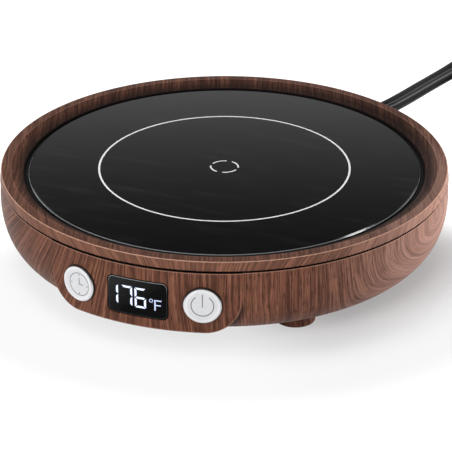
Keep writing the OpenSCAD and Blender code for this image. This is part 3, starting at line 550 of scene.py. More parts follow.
@dataclass(frozen=True)
class PlateGlass:
    """Back-printed black glass with a ground bevel, painted paler partly as a painted reflection, and faint wiping
    marks.
    """

    edge: float = 56.6
    face_z: float = 25.9
    depth: Colour = paint(9, 9, 10)
    wiped: Colour = paint(14, 14, 15)
    # ground bevel's tone, which also stands for a painted reflection
    ground: Colour = paint(150, 153, 155)

    def make(self) -> Material:
        """Builds the material.

        Returns:
            The material, whose bevel is a band outside the flat.
        """
        bench = Bench("hotplate_glass")
        at = bench.place()
        wiping = bench.noise((at.x * 0.06 + at.y * 0.02, at.y * 0.35, at.z * 0.05), detail=4.0)
        facet = at.reach().ramp(self.edge, self.edge + 0.06) * at.z.ramp(self.face_z - 0.2, self.face_z)
        # the bevel is painted paler: ground glass, and partly a painted reflection
        bevel = at.reach().band(self.edge + 0.33, 0.16) * facet
        return bench.close({
            "Base Color": bench.blend(bevel * 0.7, bench.blend(wiping * 0.5, self.depth, self.wiped), self.ground),
            "Roughness": 0.055 + wiping.ramp(0.45, 0.8) * 0.05 + facet * 0.08,
            "Normal": bench.bump(bench.noise((at.x * 0.05, at.y * 0.05, 2.0), detail=1.0), 0.004),
        })


@dataclass(frozen=True)
class WindowGlass:
    """Smoked window with a painted highlight on the chamfer along its outline, stronger towards its top."""

    height: float = 14.95
    half: Pair = (8.75, 5.5)
    corner: float = 1.6
    smoked: Colour = paint(3, 3, 4)
    veiled: Colour = paint(44, 44, 45)
    # painted highlight on the chamfer
    ground: Colour = paint(190, 192, 192)

    def make(self) -> Material:
        """Builds the material.

        Returns:
            The material, whose chamfer follows a rounded rectangle.
        """
        bench = Bench("window_glass")
        at = bench.place()
        inside = (abs(at.x) - (self.half[0] - self.corner)).most(0.0)
        upward = (abs(at.z - self.height) - (self.half[1] - self.corner)).most(0.0)
        outline = (inside * inside + upward * upward) ** 0.5 - self.corner
        chamfer = outline.band(-0.18, 0.11)
        smoke = bench.noise(at.by(0.3))
        # a faint reflection that grows towards the upper left
        veil = (at.z * 0.07 - at.x * 0.05 - 1.1 + smoke * 0.3).least(1.0).most(0.0)
        colour = bench.blend(veil, self.smoked, self.veiled)
        # the chamfer carries a painted highlight, which grows towards the top
        return bench.close({
            "Base Color": bench.blend(chamfer * (0.08 + at.z.ramp(17.5, 20.3) * 0.7), colour, self.ground),
            "Roughness": 0.16 + smoke * 0.04 + chamfer * 0.15,
            "Normal": bench.bump(smoke, 0.006),
            "Specular IOR Level": 0.06,
        })


@dataclass(frozen=True)
class Ink:
    """Screen ink, engraved filler or a lit segment, with the slight unevenness of a print."""

    name: str
    tone: Colour
    rough: float = 0.5
    glow: float = 0.0

    def make(self) -> Material:
        """Builds the material.

        Returns:
            The material, which shines by its glow.
        """
        bench = Bench(self.name)
        grain = bench.noise(bench.place().by(3.5))
        colour = bench.blend(grain.ramp(0.3, 0.62), tint(self.tone, 0.8), self.tone)
        shader = {"Base Color": colour, "Roughness": self.rough + grain * 0.08, "Normal": bench.bump(grain, 0.01)}
        if self.glow:
            shader |= {"Emission Color": colour, "Emission Strength": self.glow}
        return bench.close(shader)


class Lay(Enum):
    """How a metal was worked."""

    ROLLED = "rolled"
    TURNED = "turned"
    STACKED = "stacked"


@dataclass(frozen=True)
class Metal:
    """Bare or plated metal with the marks of its working, tarnish and scratches."""

    name: str
    tone: Colour
    lay: Lay = Lay.ROLLED
    rough: float = 0.32
    tarnish: Colour = paint(110, 104, 96)

    def make(self) -> Material:
        """Builds the material.

        Returns:
            The material; its marks are noise drawn out along its lay.
        """
        bench = Bench(self.name)
        at = bench.place()
        if self.lay is Lay.TURNED:
            marks = bench.noise((at.reach() * 5, 0.0, at.z * 5))
        elif self.lay is Lay.STACKED:
            marks = bench.noise(at.by(0.2, 0.2, 7.0), detail=1.0)
        else:
            marks = bench.noise(at.by(0.35, 6.0, 6.0))
        cloud = bench.noise(at.by(0.3), detail=3.0)
        return bench.close({
            "Base Color": bench.blend(cloud.ramp(0.52, 0.8) * 0.4, self.tone, self.tarnish),
            "Metallic": 1.0,
            "Roughness": (self.rough - 0.1) + marks * 0.18 + cloud * 0.06,
            "Normal": bench.bump(marks, 0.02),
        })


@dataclass(frozen=True)
class Sheet:
    """Flat insulating or laminated sheet with flakes or fibres."""

    name: str
    tone: Colour
    deep: Colour
    pitch: float = 0.8
    rough: float = 0.6
    depth: float = 0.05

    def make(self) -> Material:
        """Builds the material.

        Returns:
            The material, whose flakes are cells of scattered points.
        """
        bench = Bench(self.name)
        at = bench.place()
        flakes = bench.specks(at.by(self.pitch, self.pitch, self.pitch * 2))
        fibre = bench.noise(at.by(1.4, 5.0, 5.0), detail=3.0, twist=1.5)
        return bench.close({
            "Base Color": bench.blend(flakes.ramp(0.1, 0.8) * 0.6 + fibre * 0.4, self.deep, self.tone),
            "Roughness": self.rough + fibre * 0.15 - 0.07,
            "Normal": bench.bump(flakes * 0.5 + fibre * 0.5, self.depth),
        })


@dataclass(frozen=True)
class CircuitBoard:
    """Solder mask over copper tracks, with plated pads."""

    name: str = "circuit_board"
    pad_pitch: float = 2.54
    mask: Colour = paint(24, 92, 52)
    track: Colour = paint(46, 128, 74)
    pad: Colour = paint(196, 190, 170)

    def make(self) -> Material:
        """Builds the material.

        Returns:
            The material; its tracks are contours of a cloudy height, and its pads sit on a square grid.
        """
        bench = Bench(self.name)
        at = bench.place()
        height = bench.noise(at.by(0.09), detail=0.0) * 9
        tracks = abs(height.math("FRACT") - 0.5).ramp(0.24, 0.18)
        column, row = (abs((way / self.pad_pitch).math("FRACT") - 0.5) for way in (at.x, at.y + at.z))
        # only some of the grid's places carry a pad
        chosen = bench.noise((at.x * 0.12, at.y * 0.12, 4.0), detail=0.0).ramp(0.53, 0.57)
        pads = ((column * column + row * row) ** 0.5).ramp(0.24, 0.2) * chosen
        return bench.close({
            "Base Color": bench.blend(pads, bench.blend(tracks, self.mask, self.track), self.pad),
            "Metallic": pads * 0.9,
            "Roughness": 0.34 - pads * 0.08,
            "Normal": bench.bump(tracks * 0.5 + pads * 0.5, 0.035),
        })


@dataclass(frozen=True)
class Jacket:
    """Black flexible jacket of the lead, with a faint drawing grain along it and a painted highlight along each core's
    crown.
    """

    tone: Colour = paint(19, 19, 20)
    dust: Colour = paint(30, 30, 31)
    # painted highlight on the cores' crowns
    rubbed: Colour = paint(92, 92, 94)
    crowns: tuple[Pair, ...] = ((2.0, 0.6), (3.7, 0.3))

    def make(self) -> Material:
        """Builds the material.

        Returns:
            The material; a crown is a place round the section on the piece's own map, and half its width.
        """
        bench = Bench("lead_jacket")
        along, across, _ = bench.place("UV")
        drawn = bench.noise((along * 0.05, across * 2.2, 0.5))
        scuff = bench.noise((along * 0.4, across * 0.9, 8.0), detail=3.0)
        colour = bench.blend(scuff.ramp(0.5, 0.75) * 0.5, self.tone, self.dust)
        # painted highlight along each crown
        for place, half in self.crowns:
            colour = bench.blend(across.band(place, half) * (0.55 + drawn * 0.5), colour, self.rubbed)
        return bench.close({
            "Base Color": colour,
            "Roughness": 0.44 + scuff * 0.16,
            "Normal": bench.bump(drawn * 0.6 + scuff * 0.4, 0.03),
            "Specular IOR Level": 0.15,
        })


# Surfaces


@dataclass
class Shell:
    """Vertices in metres and faces of a mesh under construction; pieces of it are joined with +."""

    points: Grid
    quads: Grid
    fans: Grid = field(default_factory=lambda: np.zeros((0, 3), int))

    def __add__(self, other: "Shell") -> "Shell":
        """Joins two shells.

        Args:
            other: The second one.

        Returns:
            Both in one.
        """
        step = len(self.points)
        pairs = (self.points, other.points), (self.quads, other.quads + step), (self.fans, other.fans + step)
        return Shell(*map(np.vstack, pairs))

    def outward(self) -> "Shell":
        """Turns the faces outwards.

        Returns:
            The shell, turned over where its signed volume is below 0.
        """
        corners = self.points[np.vstack([self.quads[:, [0, 1, 2]], self.quads[:, [0, 2, 3]], self.fans])]
        if np.einsum("ij,ij->", corners[:, 0], np.cross(corners[:, 1], corners[:, 2])) >= 0:
            return self
        return Shell(self.points, self.quads[:, ::-1], self.fans[:, ::-1])

    def object(self, name: str, smooth: bool = True) -> Object:
        """Makes the scene object.

        Args:
            name: The piece's name.
            smooth: Whether it is shaded smooth, with creases kept over 35 degrees.

        Returns:
            The object, at the origin.
        """
        mesh = bpy.data.meshes.new(name)
        mesh.from_pydata(self.points.tolist(), [], self.quads.tolist() + self.fans.tolist())
        mesh.validate()
        mesh.polygons.foreach_set("use_smooth", np.full(len(mesh.polygons), smooth))
        if smooth:
            mesh.set_sharp_from_angle(angle=math.radians(35))
        made = bpy.data.objects.new(name, mesh)
        bpy.context.scene.collection.objects.link(made)
        return made


def net(rows: int, columns: int, wrap: bool = False) -> Grid:
    """Numbers the quads of a grid of points.

    Args:
        rows: Points along the first parameter.
        columns: Points along the second.
        wrap: Whether the second closes on itself.

    Returns:
        Four corner indices a row.
    """
    row, column = np.meshgrid(np.arange(rows - 1), np.arange(columns if wrap else columns - 1), indexing="ij")
    low, after = row * columns, (column + 1) % columns
    return np.stack([low + column, low + after, low + columns + after, low + columns + column], -1).reshape(-1, 4)


def slab(low: Grid, high: Grid, wrap: bool = False) -> Shell:
    """Closes the space between two grids of points, rows by columns, into one solid.

    Args:
        low: The lower face's points, in metres.
        high: The upper face's points.
        wrap: Whether the columns close on themselves, as on a ring.

    Returns:
        The closed shell.
    """
    rows, columns = low.shape[:2]
    count = rows * columns
    face = net(rows, columns, wrap)
    number = np.arange(count).reshape(rows, columns)
    borders = [number[0], number[-1][::-1]] + ([] if wrap else [number[::-1, 0], number[:, -1]])
    walls = []
    for border in borders:
        after = np.roll(border, -1)
        pair = np.stack([border, after, after + count, border + count], -1)
        walls.append(pair if wrap else pair[:-1])
    quads = np.vstack([face[:, ::-1], face + count, *walls])
    return Shell(np.vstack([low.reshape(-1, 3), high.reshape(-1, 3)]), quads).outward()


def sweep(path: Grid, across: Grid, over: Grid, profile: Grid) -> Shell:
    """Carries a closed profile along a path and closes both ends with fans.

    Args:
        path: The centreline's points, in metres.
        across: The profile's first direction at each point.
        over: Its second direction.
        profile: Its points, two numbers each.

    Returns:
        The tube: each ring is the path's point plus the profile's numbers times the two directions.
    """
    rings = path[:, None] + profile[None, :, :1] * across[:, None] + profile[None, :, 1:] * over[:, None]
    rows, columns = rings.shape[:2]
    points = np.vstack([rings.reshape(-1, 3), path[:1], path[-1:]])
    ring = np.arange(columns)
    after, last = (ring + 1) % columns, (rows - 1) * columns
    near = np.stack([after, ring, np.full(columns, rows * columns)], -1)
    far = np.stack([last + ring, last + after, np.full(columns, rows * columns + 1)], -1)
    return Shell(points, net(rows, columns, True), np.vstack([near, far])).outward()


def resample(points: Grid, step: float) -> Grid:
    """Draws a smooth curve through points and cuts it into even steps.

    Args:
        points: The points, with any further columns carried along.
        step: The distance between new points.

    Returns:
        The new points, on Hermite cubics whose slopes are half the chord of the neighbours.
    """
    slopes = np.gradient(points, axis=0)
    share = np.linspace(0, 1, 24, endpoint=False)[:, None, None]
    curve = (
        (2 * share**3 - 3 * share**2 + 1) * points[:-1]
        + (share**3 - 2 * share**2 + share) * slopes[:-1]
        + (3 * share**2 - 2 * share**3) * points[1:]
        + (share**3 - share**2) * slopes[1:]
    )
    curve = np.vstack([curve.transpose(1, 0, 2).reshape(-1, points.shape[1]), points[-1:]])
    reach = lengths(curve)
    marks = np.linspace(0, reach[-1], max(2, int(round(reach[-1] / step)) + 1))
    return np.stack([np.interp(marks, reach, column) for column in curve.T], -1)


def lengths(path: Grid) -> Grid:
    """Gives the way along a path to each of its points."""
    return np.concatenate([[0], np.cumsum(np.linalg.norm(np.diff(path[:, :3], axis=0), axis=1))])


def unit(vectors: Grid) -> Grid:
    """Scales each vector to a length of 1."""
    return vectors / np.linalg.norm(vectors, axis=1, keepdims=True)


# Sub-assemblies


def dress(node: Object, material: Material) -> None:
    """Gives a node or piece its material in place of those that it has."""
    node.data.materials.clear()
    node.data.materials.append(material)


def fit(name: str, shell: Shell, material: Material, body: str) -> Object:
    """Makes a new piece and fixes it to the frame.

    Args:
        name: Its name.
        shell: Its mesh.
        material: Its material.
        body: The body that it rides on.

    Returns:
        The piece.
    """
    piece = shell.object(name)
    dress(piece, material)
    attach(piece, body)
    LOG.info("%s: %d points, rides on %s", name, len(shell.points), body)
    return piece


class Assembly:
    """A sub-assembly: it adds its own pieces, then gives each finish of its coats to the nodes named after it."""

    coats: Coats = ()

    def add(self) -> None:
        """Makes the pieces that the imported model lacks."""

    def build(self, nodes: Mapping[str, Object]) -> None:
        """Adds the pieces and dresses the nodes.

        Args:
            nodes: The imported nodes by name.
        """
        self.add()
        for finish, *names in self.coats:
            material = finish.make()
            for name in names:
                dress(nodes[name], material)
                LOG.info("%s: %s", name, material.name)


@dataclass
class Lead(Assembly):
    """Flat twin-core lead: from the strain relief along the table into a coil of two layers, then to the plug."""

    width: float = 6.0
    core_r: float = 1.6
    web: float = 1.15
    squareness: float = 0.8
    girth: float = 8.0
    step: float = 1.5
    section_points: int = 44
    turn_points: int = 40
    route: tuple[Row, ...] = (
        (21.7, 79.4, 15.45, 0), (22.2, 81.0, 15.4, 0), (23.6, 86.0, 15.1, 0), (25.2, 95.5, 14.2, 0),
        (26.7, 107.0, 13.0, 0), (28.3, 119.0, 11.7, 0), (30.0, 130.5, 10.6, 5), (31.4, 138.5, 10.0, 25),
        (32.8, 147.0, 9.8, 60),
    )
    tail: tuple[Row, ...] = (
        (97.9, 123.0, 3.9, 80), (95.4, 115.6, 4.6, 50), (94.1, 107.9, 5.6, 20), (94.2, 100.2, 6.3, 0),
    )
    coil_centre: Pair = (70.0, 148.0)
    coil_out_r: float = 36.3
    coil_pitch: float = 3.3
    coil_turns: float = 5.55
    step_turns: float = 0.15
    coil_from: float = 168.0
    layers: Pair = (9.7, 3.6)
    upright: Pair = (85.0, 90.0)
    upright_by: Pair = (0.0, 0.08)
    exit: tuple[float, float, float] = (22.2, 81.0, 15.4)
    coats: Coats = (
        (Moulded("plug_pvc", paint(22, 22, 23), 0.42, 1.8, 0.04), "plug_body"),
        (Moulded("relief_pvc", paint(20, 20, 21), 0.4, 2.2), "strain_relief"),
        (Metal("blade_brass", paint(200, 176, 112), Lay.ROLLED, 0.28), "plug_blades"),
        (Sheet("tie_loop", paint(30, 30, 32), paint(12, 12, 13), 1.6, 0.8, 0.12), "cord_tie"),
    )

    def centreline(self) -> Grid:
        """Works out the lead's points and the roll of its flat section.

        Returns:
            Rows of x, y, z in millimetres and roll in degrees. In the coil the radius shrinks by the pitch each turn in
            the upper layer, stays as the lead steps down, and grows again in the lower layer.
        """
        turns = np.linspace(0, self.coil_turns, int(self.coil_turns * self.turn_points))
        half = (self.coil_turns - self.step_turns) / 2
        inward = np.minimum(turns, half) - np.maximum(turns - half - self.step_turns, 0)
        share = np.clip((turns - half) / self.step_turns, 0, 1)
        height = self.layers[0] + (self.layers[1] - self.layers[0]) * share * share * (3 - 2 * share)
        radius = self.coil_out_r - self.coil_pitch * inward
        angle = np.radians(self.coil_from) - turns * 2 * math.pi
        x, y = self.coil_centre[0] + radius * np.cos(angle), self.coil_centre[1] + radius * np.sin(angle)
        coil = np.stack([x, y, height, np.interp(turns, self.upright_by, self.upright)], -1)
        before = resample(np.vstack([np.array(self.route), coil[:1]]), self.step)
        after = resample(np.vstack([coil[-1:], np.array(self.tail)]), self.step)
        return np.vstack([before[:-1], coil, after[1:]])

    def section(self) -> Grid:
        """Works out the twin-core profile: two round cores joined by a web, with a valley on each side.

        Returns:
            The points in metres. The height at x is that of the nearer core's circle, or the web's if higher.
        """
        angle = np.linspace(0, 2 * math.pi, self.section_points, endpoint=False)
        half = self.width / 2
        x = np.sign(np.cos(angle)) * half * np.abs(np.cos(angle)) ** self.squareness
        middle = half - self.core_r
        circle = np.sqrt(np.maximum(self.core_r**2 - (np.abs(x) - middle) ** 2, 0))
        height = np.where(np.abs(x) < middle, np.maximum(circle, self.web), circle)
        return np.stack([x, np.sign(np.sin(angle)) * height], -1) * MM

    def add(self) -> None:
        line = self.centreline()
        path = line[:, :3] * MM
        along = unit(np.gradient(path, axis=0))
        side = unit(np.stack([-along[:, 1], along[:, 0], np.zeros(len(path))], -1))
        top = np.cross(along, side)
        roll = np.radians(line[:, 3])[:, None]
        across, over = side * np.cos(roll) + top * np.sin(roll), top * np.cos(roll) - side * np.sin(roll)
        profile = self.section()
        lead = fit("flex_lead", sweep(path, across, over, profile), Jacket().make(), "housing")
        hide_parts("power_cord", "cord_coil", "cord_tail")
        self._map(lead, path, len(profile))

    def _map(self, lead: Object, path: Grid, around: int) -> None:
        """Writes the lead's own map: metres along it, and metres round its section, mirrored to have no seam.

        Args:
            lead: The swept piece.
            path: Its centreline.
            around: Points of its profile.
        """
        reach = lengths(path)
        girth = np.abs(np.linspace(-1, 1, around, endpoint=False)) * self.girth * MM
        spots = np.stack(np.broadcast_arrays(reach[:, None], girth[None, :]), -1).reshape(-1, 2)
        spots = np.vstack([spots, [[0, 0], [reach[-1], 0]]])
        corner = np.zeros(len(lead.data.loops), np.int32)
        lead.data.loops.foreach_get("vertex_index", corner)
        lead.data.uv_layers.new(name="along").data.foreach_set("uv", spots[corner].astype(np.float32).ravel())


@dataclass
class Hotplate(Assembly):
    """Black glass with its printed circle, over the seal and the heater."""

    top_z: float = 26.4
    circle_r: float = 36.52
    circle_w: float = 0.55
    mark_r: float = 4.0
    mark_w: float = 0.45
    mark_span: Pair = (12, 78)
    ink_t: float = 0.02
    coats: Coats = (
        (PlateGlass(), "glass_plate"),
        (Moulded("seal_silicone", paint(7, 7, 8), 0.7, 1.5, specular=0.1), "glass_seal"),
        (Metal("heater_plate", paint(205, 205, 208), Lay.TURNED, 0.34), "heater_plate"),
        (Sheet("mica", paint(182, 160, 120), paint(140, 118, 84), 0.5, 0.4), "mica_sheet"),
        (Metal("track_foil", paint(170, 150, 122), Lay.ROLLED, 0.42), "heating_track"),
        (Sheet("pad_fibre", paint(226, 222, 210), paint(190, 184, 168), 1.4, 0.9, 0.2), "insulation_pad"),
        (Metal("shield_zinc", paint(168, 170, 174), Lay.ROLLED, 0.36), "heat_shield"),
        (
            Moulded("ceramic", paint(236, 233, 226), 0.55, 1.2, 0.02, 0.08),
            "sensor_holder", "thermal_fuse", "board_fuse",
        ),
        (Moulded("sensor_bead", paint(92, 58, 40), 0.25, 1.6, 0.02), "thermistor"),
        (Metal("strap_zinc", paint(170, 172, 176), Lay.ROLLED, 0.34), "fuse_strap"),
        (Metal("shield_screw_zinc", paint(178, 180, 184), Lay.TURNED, 0.3), "shield_screws"),
    )

    def _arc(self, radius: float, width: float, steps: int, start: float = 0, end: float = 360) -> Shell:
        """Makes a flat printed arc, or a ring.

        Args:
            radius: Its middle radius.
            width: Its width.
            steps: Points along it.
            start: Where it begins, in degrees.
            end: Where it ends.

        Returns:
            The print, between circles of the inner and outer radius, a film's thickness high.
        """
        full = end - start >= 360
        angle = np.radians(np.linspace(start, end, steps, endpoint=not full))[None, :]
        reach = np.array([radius - width / 2, radius + width / 2])[:, None]
        low = np.stack([reach * np.cos(angle), reach * np.sin(angle), np.full((2, steps), self.top_z)], -1) * MM
        return slab(low, low + np.array([0, 0, self.ink_t * MM]), wrap=full)

    def add(self) -> None:
        """Prints the circle and the centring mark."""
        ink = Ink("white_ink", paint(236, 237, 238), 0.45).make()
        fit("printed_circle", self._arc(self.circle_r, self.circle_w, 360), ink, "housing")
        low, high = self.mark_span
        arcs = [self._arc(self.mark_r, self.mark_w, 24, low + turn, high + turn) for turn in (0, 90, 180, 270)]
        fit("centring_mark", reduce(operator.add, arcs), ink, "housing")


class Slant(Enum):
    """How the ends of a display segment are cut."""

    MITRED = "mitred"
    POINTED = "pointed"


@dataclass
class ControlPanel(Assembly):
    """Lit window between a timer key and a power key, on the housing's upright front.

    A place on the window is s millimetres round it and z up. A digit is its right side and its lit bars: a on top,
    then clockwise to f, and g in the middle. The letter is a stem, an arm and a rung, each by its left, low, right
    and high side.
    """

    radius: float = 65.25
    film_t: float = 0.02
    lift: float = 0.001
    digit_w: float = 3.35
    digit_h: float = 6.05
    digit_z: float = 12.05
    stroke: float = 0.6
    gap: float = 0.17
    digits: tuple[tuple[float, str], ...] = ((-5.72, "bc"), (-1.4, "abc"), (2.66, "acdefg"))
    degree_at: Pair = (4.1, 14.85)
    degree_r: Pair = (0.36, 0.57)
    letter: tuple[Row, ...] = (
        (5.02, 11.95, 5.46, 15.2), (5.46, 14.84, 7.1, 15.2), (5.46, 13.4, 6.9, 13.76),
    )
    key_azimuth: float = 16.25
    key_z: float = 14.95
    key_face: float = 65.98
    icon_t: float = 0.015
    power_r: float = 3.1
    power_rise: float = 0.1
    power_gap: float = 36.0
    power_bar: Pair = (-0.35, 3.55)
    power_half: float = 0.14
    clock_r: float = 3.35
    clock_shift: float = 0.45
    clock_half: float = 0.1
    ticks: tuple[float, ...] = (2.5, 2.8, 3.1)
    hands: Pair = (1.95, 1.35)
    hand_half: float = 0.12
    coats: Coats = (
        (WindowGlass(), "display_window"),
        (SilverPaint("timer_silver", -key_azimuth, key_z), "timer_button"),
        (SilverPaint("power_silver", key_azimuth, key_z), "power_button"),
        (Moulded("module_black", paint(26, 26, 28), 0.4, 1.8, 0.02), "display_module"),
        (CircuitBoard("front_circuit"), "front_board"),
        (
            Moulded("switch_black", paint(28, 28, 29), 0.45, 2.0, 0.02),
            "timer_switch", "power_switch", "timer_plunger", "power_plunger",
        ),
    )

    def _film(self, s: Grid, z: Grid, wrap: bool = False) -> Shell:
        """Lays a film of light on the window.

        Args:
            s: The places of its points round the window.
            z: Their heights.
            wrap: Whether it closes on itself.

        Returns:
            The film, between two radii just over the window's own.
        """
        turn = s / self.radius
        faces = [
            np.stack([reach * np.sin(turn), -reach * np.cos(turn), z], -1) * MM
            for reach in (self.radius + self.lift, self.radius + self.film_t)
        ]
        return slab(*faces, wrap)

    def _bar(self, start: Pair, end: Pair, inner: int = -1, cut: Slant = Slant.MITRED) -> Shell:
        """Makes one lit bar on the window.

        Args:
            start: Where its outer edge begins, s and z.
            end: Where it ends.
            inner: The side of that edge on which the bar lies, +1 for its left.
            cut: How its ends are cut.

        Returns:
            The bar: its long edges are a stroke apart, and its ends are cut back by the distance from the outer edge,
            or from the middle where it is pointed.
        """
        low, high = np.array(start), np.array(end)
        length = float(np.linalg.norm(high - low))
        way = (high - low) / length
        left = np.array([-way[1], way[0]]) * inner
        share, q = np.linspace(0, 1, 5)[:, None], np.array([0, 0.5, 1.0])[None, :]
        back = self.stroke * (q if cut is Slant.MITRED else np.abs(q - 0.5))
        along = back + share * (length - 2 * back)
        flat = low + along[..., None] * way + (self.stroke * q + along * 0)[..., None] * left
        return self._film(flat[..., 0], flat[..., 1])

    def _figures(self) -> Shell:
        """Makes the lit bars of all digits.

        Returns:
            The bars, each with a gap to its neighbours.
        """
        low, high = self.digit_z, self.digit_z + self.digit_h
        mid, g, half = (low + high) / 2, self.gap, self.stroke / 2
        made = []
        for right, lit in self.digits:
            left = right - self.digit_w
            bars = {
                "a": ((left + g, high), (right - g, high)),
                "b": ((right, high - g), (right, mid + g / 2)),
                "c": ((right, mid - g / 2), (right, low + g)),
                "d": ((right - g, low), (left + g, low)),
                "e": ((left, low + g), (left, mid - g / 2)),
                "f": ((left, mid + g / 2), (left, high - g)),
                "g": ((left + half, mid - half), (right - half, mid - half), 1, Slant.POINTED),
            }
            made += [self._bar(*bars[name]) for name in lit]
        return reduce(operator.add, made)

    def _unit(self) -> Shell:
        """Makes the degree ring and the letter of the temperature scale.

        Returns:
            The ring between two circles, and the letter's blocks.
        """
        angle = np.linspace(0, 2 * math.pi, 32, endpoint=False)[None, :]
        reach = np.array(self.degree_r)[:, None]
        made = self._film(self.degree_at[0] + reach * np.cos(angle), self.degree_at[1] + reach * np.sin(angle), True)
        for left, low, right, high in self.letter:
            s, z = np.meshgrid(np.linspace(left, right, 4), np.linspace(low, high, 3), indexing="ij")
            made = made + self._film(s, z)
        return made

    def _stroke(self, side: int, u: Grid, w: Grid, half: float) -> Shell:
        """Draws a line of an icon on a key's face.

        Args:
            side: Which key: -1 timer, 1 power.
            u: Places right of the key's axis.
            w: Places over it.
            half: Half the line's width.

        Returns:
            The line: the curve through u and w, widened square to its own slope.
        """
        slope = unit(np.gradient(np.stack([u, w], -1), axis=0))
        edges = np.array([-half, half])[None, :]
        wide_u, wide_w = u[:, None] - slope[:, 1:] * edges, w[:, None] + slope[:, :1] * edges
        turn = math.radians(self.key_azimuth * side)
        right, out = np.array([math.cos(turn), math.sin(turn), 0]), np.array([math.sin(turn), -math.cos(turn), 0])
        up = np.array([0, 0, 1])
        flat = wide_u[..., None] * right + (wide_w + self.key_z)[..., None] * up
        return slab(*((flat + out * (self.key_face + depth)) * MM for depth in (self.lift, self.icon_t)))

    def _power_icon(self) -> Shell:
        """Makes the power mark.

        Returns:
            A ring with a gap at its top, and the upright bar in it.
        """
        angle = np.radians(np.linspace(90 + self.power_gap, 450 - self.power_gap, 48))
        x, y = self.power_r * np.cos(angle), self.power_r * np.sin(angle) + self.power_rise
        bar = self._stroke(1, np.zeros(4), np.linspace(*self.power_bar, 4), self.power_half)
        return self._stroke(1, x, y, self.power_half) + bar

    def _timer_icon(self) -> Shell:
        """Makes a clock.

        Returns:
            Its ring, four ticks and two hands.
        """
        angle, tick, nought = np.radians(np.linspace(0, 360, 64)), np.array(self.ticks), np.zeros(3)
        lines = [(self.clock_r * np.cos(angle), self.clock_r * np.sin(angle), self.clock_half)]
        for turn in np.radians([0, 90, 180, 270]):
            lines.append((tick * math.cos(turn), tick * math.sin(turn), self.clock_half))
        lines.append((nought, np.linspace(-self.clock_half, self.hands[0], 3), self.hand_half))
        lines.append((np.linspace(0, self.hands[1], 3), nought, self.hand_half))
        return reduce(operator.add, [self._stroke(-1, self.clock_shift + u, w, half) for u, w, half in lines])

    def add(self) -> None:
        """Lights the window and marks the keys."""
        glow = Ink("lit_segment", paint(222, 232, 255), 0.4, 0.6).make()
        faint = Ink("lit_unit", paint(190, 204, 238), 0.4, 0.42).make()
        grey = Ink("icon_fill", paint(118, 120, 124), 0.55).make()
        fit("display_figures", self._figures(), glow, "housing")
        fit("display_unit", self._unit(), faint, "housing")
        fit("power_icon", self._power_icon(), grey, "power_button")
        fit("timer_icon", self._timer_icon(), grey, "timer_button")


class Housing(Assembly):
    """Rim ring and bowl in their wood print, with the rubber feet and the fixings underneath."""

    coats: Coats = (
        (WalnutPrint(Part.RIM), "rim_ring"),
        (WalnutPrint(Part.BOWL), "base_shell"),
        (
            Moulded("foot_rubber", paint(34, 33, 33), 0.75, 1.6, 0.06),
            "foot_pad_front_left", "foot_pad_front_right", "foot_pad_rear_left", "foot_pad_rear_right",
        ),
        (Metal("fixing_zinc", paint(180, 181, 184), Lay.TURNED, 0.3), "case_screws", "board_screws", "clamp_screws"),
        (Moulded("clamp_black", paint(30, 30, 31), 0.5, 1.8), "clamp_bar"),
    )


class PowerBoard(Assembly):
    """Main board with its parts and the wiring inside the bowl."""

    coats: Coats = (
        (CircuitBoard(), "main_board"),
        (Metal("core_laminate", paint(92, 93, 98), Lay.STACKED, 0.42), "transformer"),
        (Moulded("capacitor_sleeve", paint(40, 62, 128), 0.35, 1.0, 0.01), "capacitors"),
        (Moulded("transistor_black", paint(26, 26, 28), 0.5, 2.2), "power_transistor"),
        (Moulded("chip_black", paint(24, 24, 25), 0.55, 2.4), "control_chip"),
        (Moulded("terminal_green", paint(38, 128, 74), 0.42, 1.8), "terminal_block"),
        (Moulded("header_white", paint(232, 229, 216), 0.45, 1.8, 0.02, 0.08), "board_headers"),
        (Moulded("ribbon_grey", paint(150, 150, 156), 0.45, 1.2, 0.02, 0.12), "ribbon_cable"),
        (Sheet("wire_white", paint(226, 223, 212), paint(192, 188, 174), 2.0, 0.75, 0.06), "heater_leads"),
        (Moulded("wire_red", paint(170, 36, 30), 0.42, 1.4, 0.01), "sensor_leads"),
        (Moulded("wire_grey", paint(62, 62, 64), 0.42, 1.4, 0.01), "mains_leads"),
    )


# Studio


def hang(name: str, data: Any, place: Matrix) -> Object:
    """Puts a lamp or camera into the scene.

    Args:
        name: Its name.
        data: Its lamp or camera data.
        place: Where it hangs.

    Returns:
        The object.
    """
    made = bpy.data.objects.new(name, data)
    bpy.context.scene.collection.objects.link(made)
    made.matrix_world = place
    return made


def turned(degrees: float, axis: str) -> Matrix:
    """Gives the turn about one axis."""
    return Matrix.Rotation(math.radians(degrees), 4, axis)


@dataclass(frozen=True)
class Softbox:
    """A soft lamp that points at the object; it may be kept out of its gloss or out of its plain light."""

    name: str
    azimuth: float
    elevation: float
    distance: float
    size: Pair
    power: float
    glossy: bool = True
    plain: bool = True

    def make(self, turn: float) -> None:
        """Hangs the lamp; its azimuth counts from the camera's side, towards its right.

        Args:
            turn: The camera's own azimuth in degrees.
        """
        lamp = bpy.data.lights.new(self.name, "AREA")
        lamp.shape = "RECTANGLE"
        lamp.size, lamp.size_y = self.size
        lamp.energy = self.power
        aim = turned(turn + self.azimuth, "Z") @ turned(90 - self.elevation, "X")
        made = hang(self.name, lamp, aim @ Matrix.Translation((0, 0, self.distance)))
        made.visible_glossy, made.visible_diffuse = self.glossy, self.plain


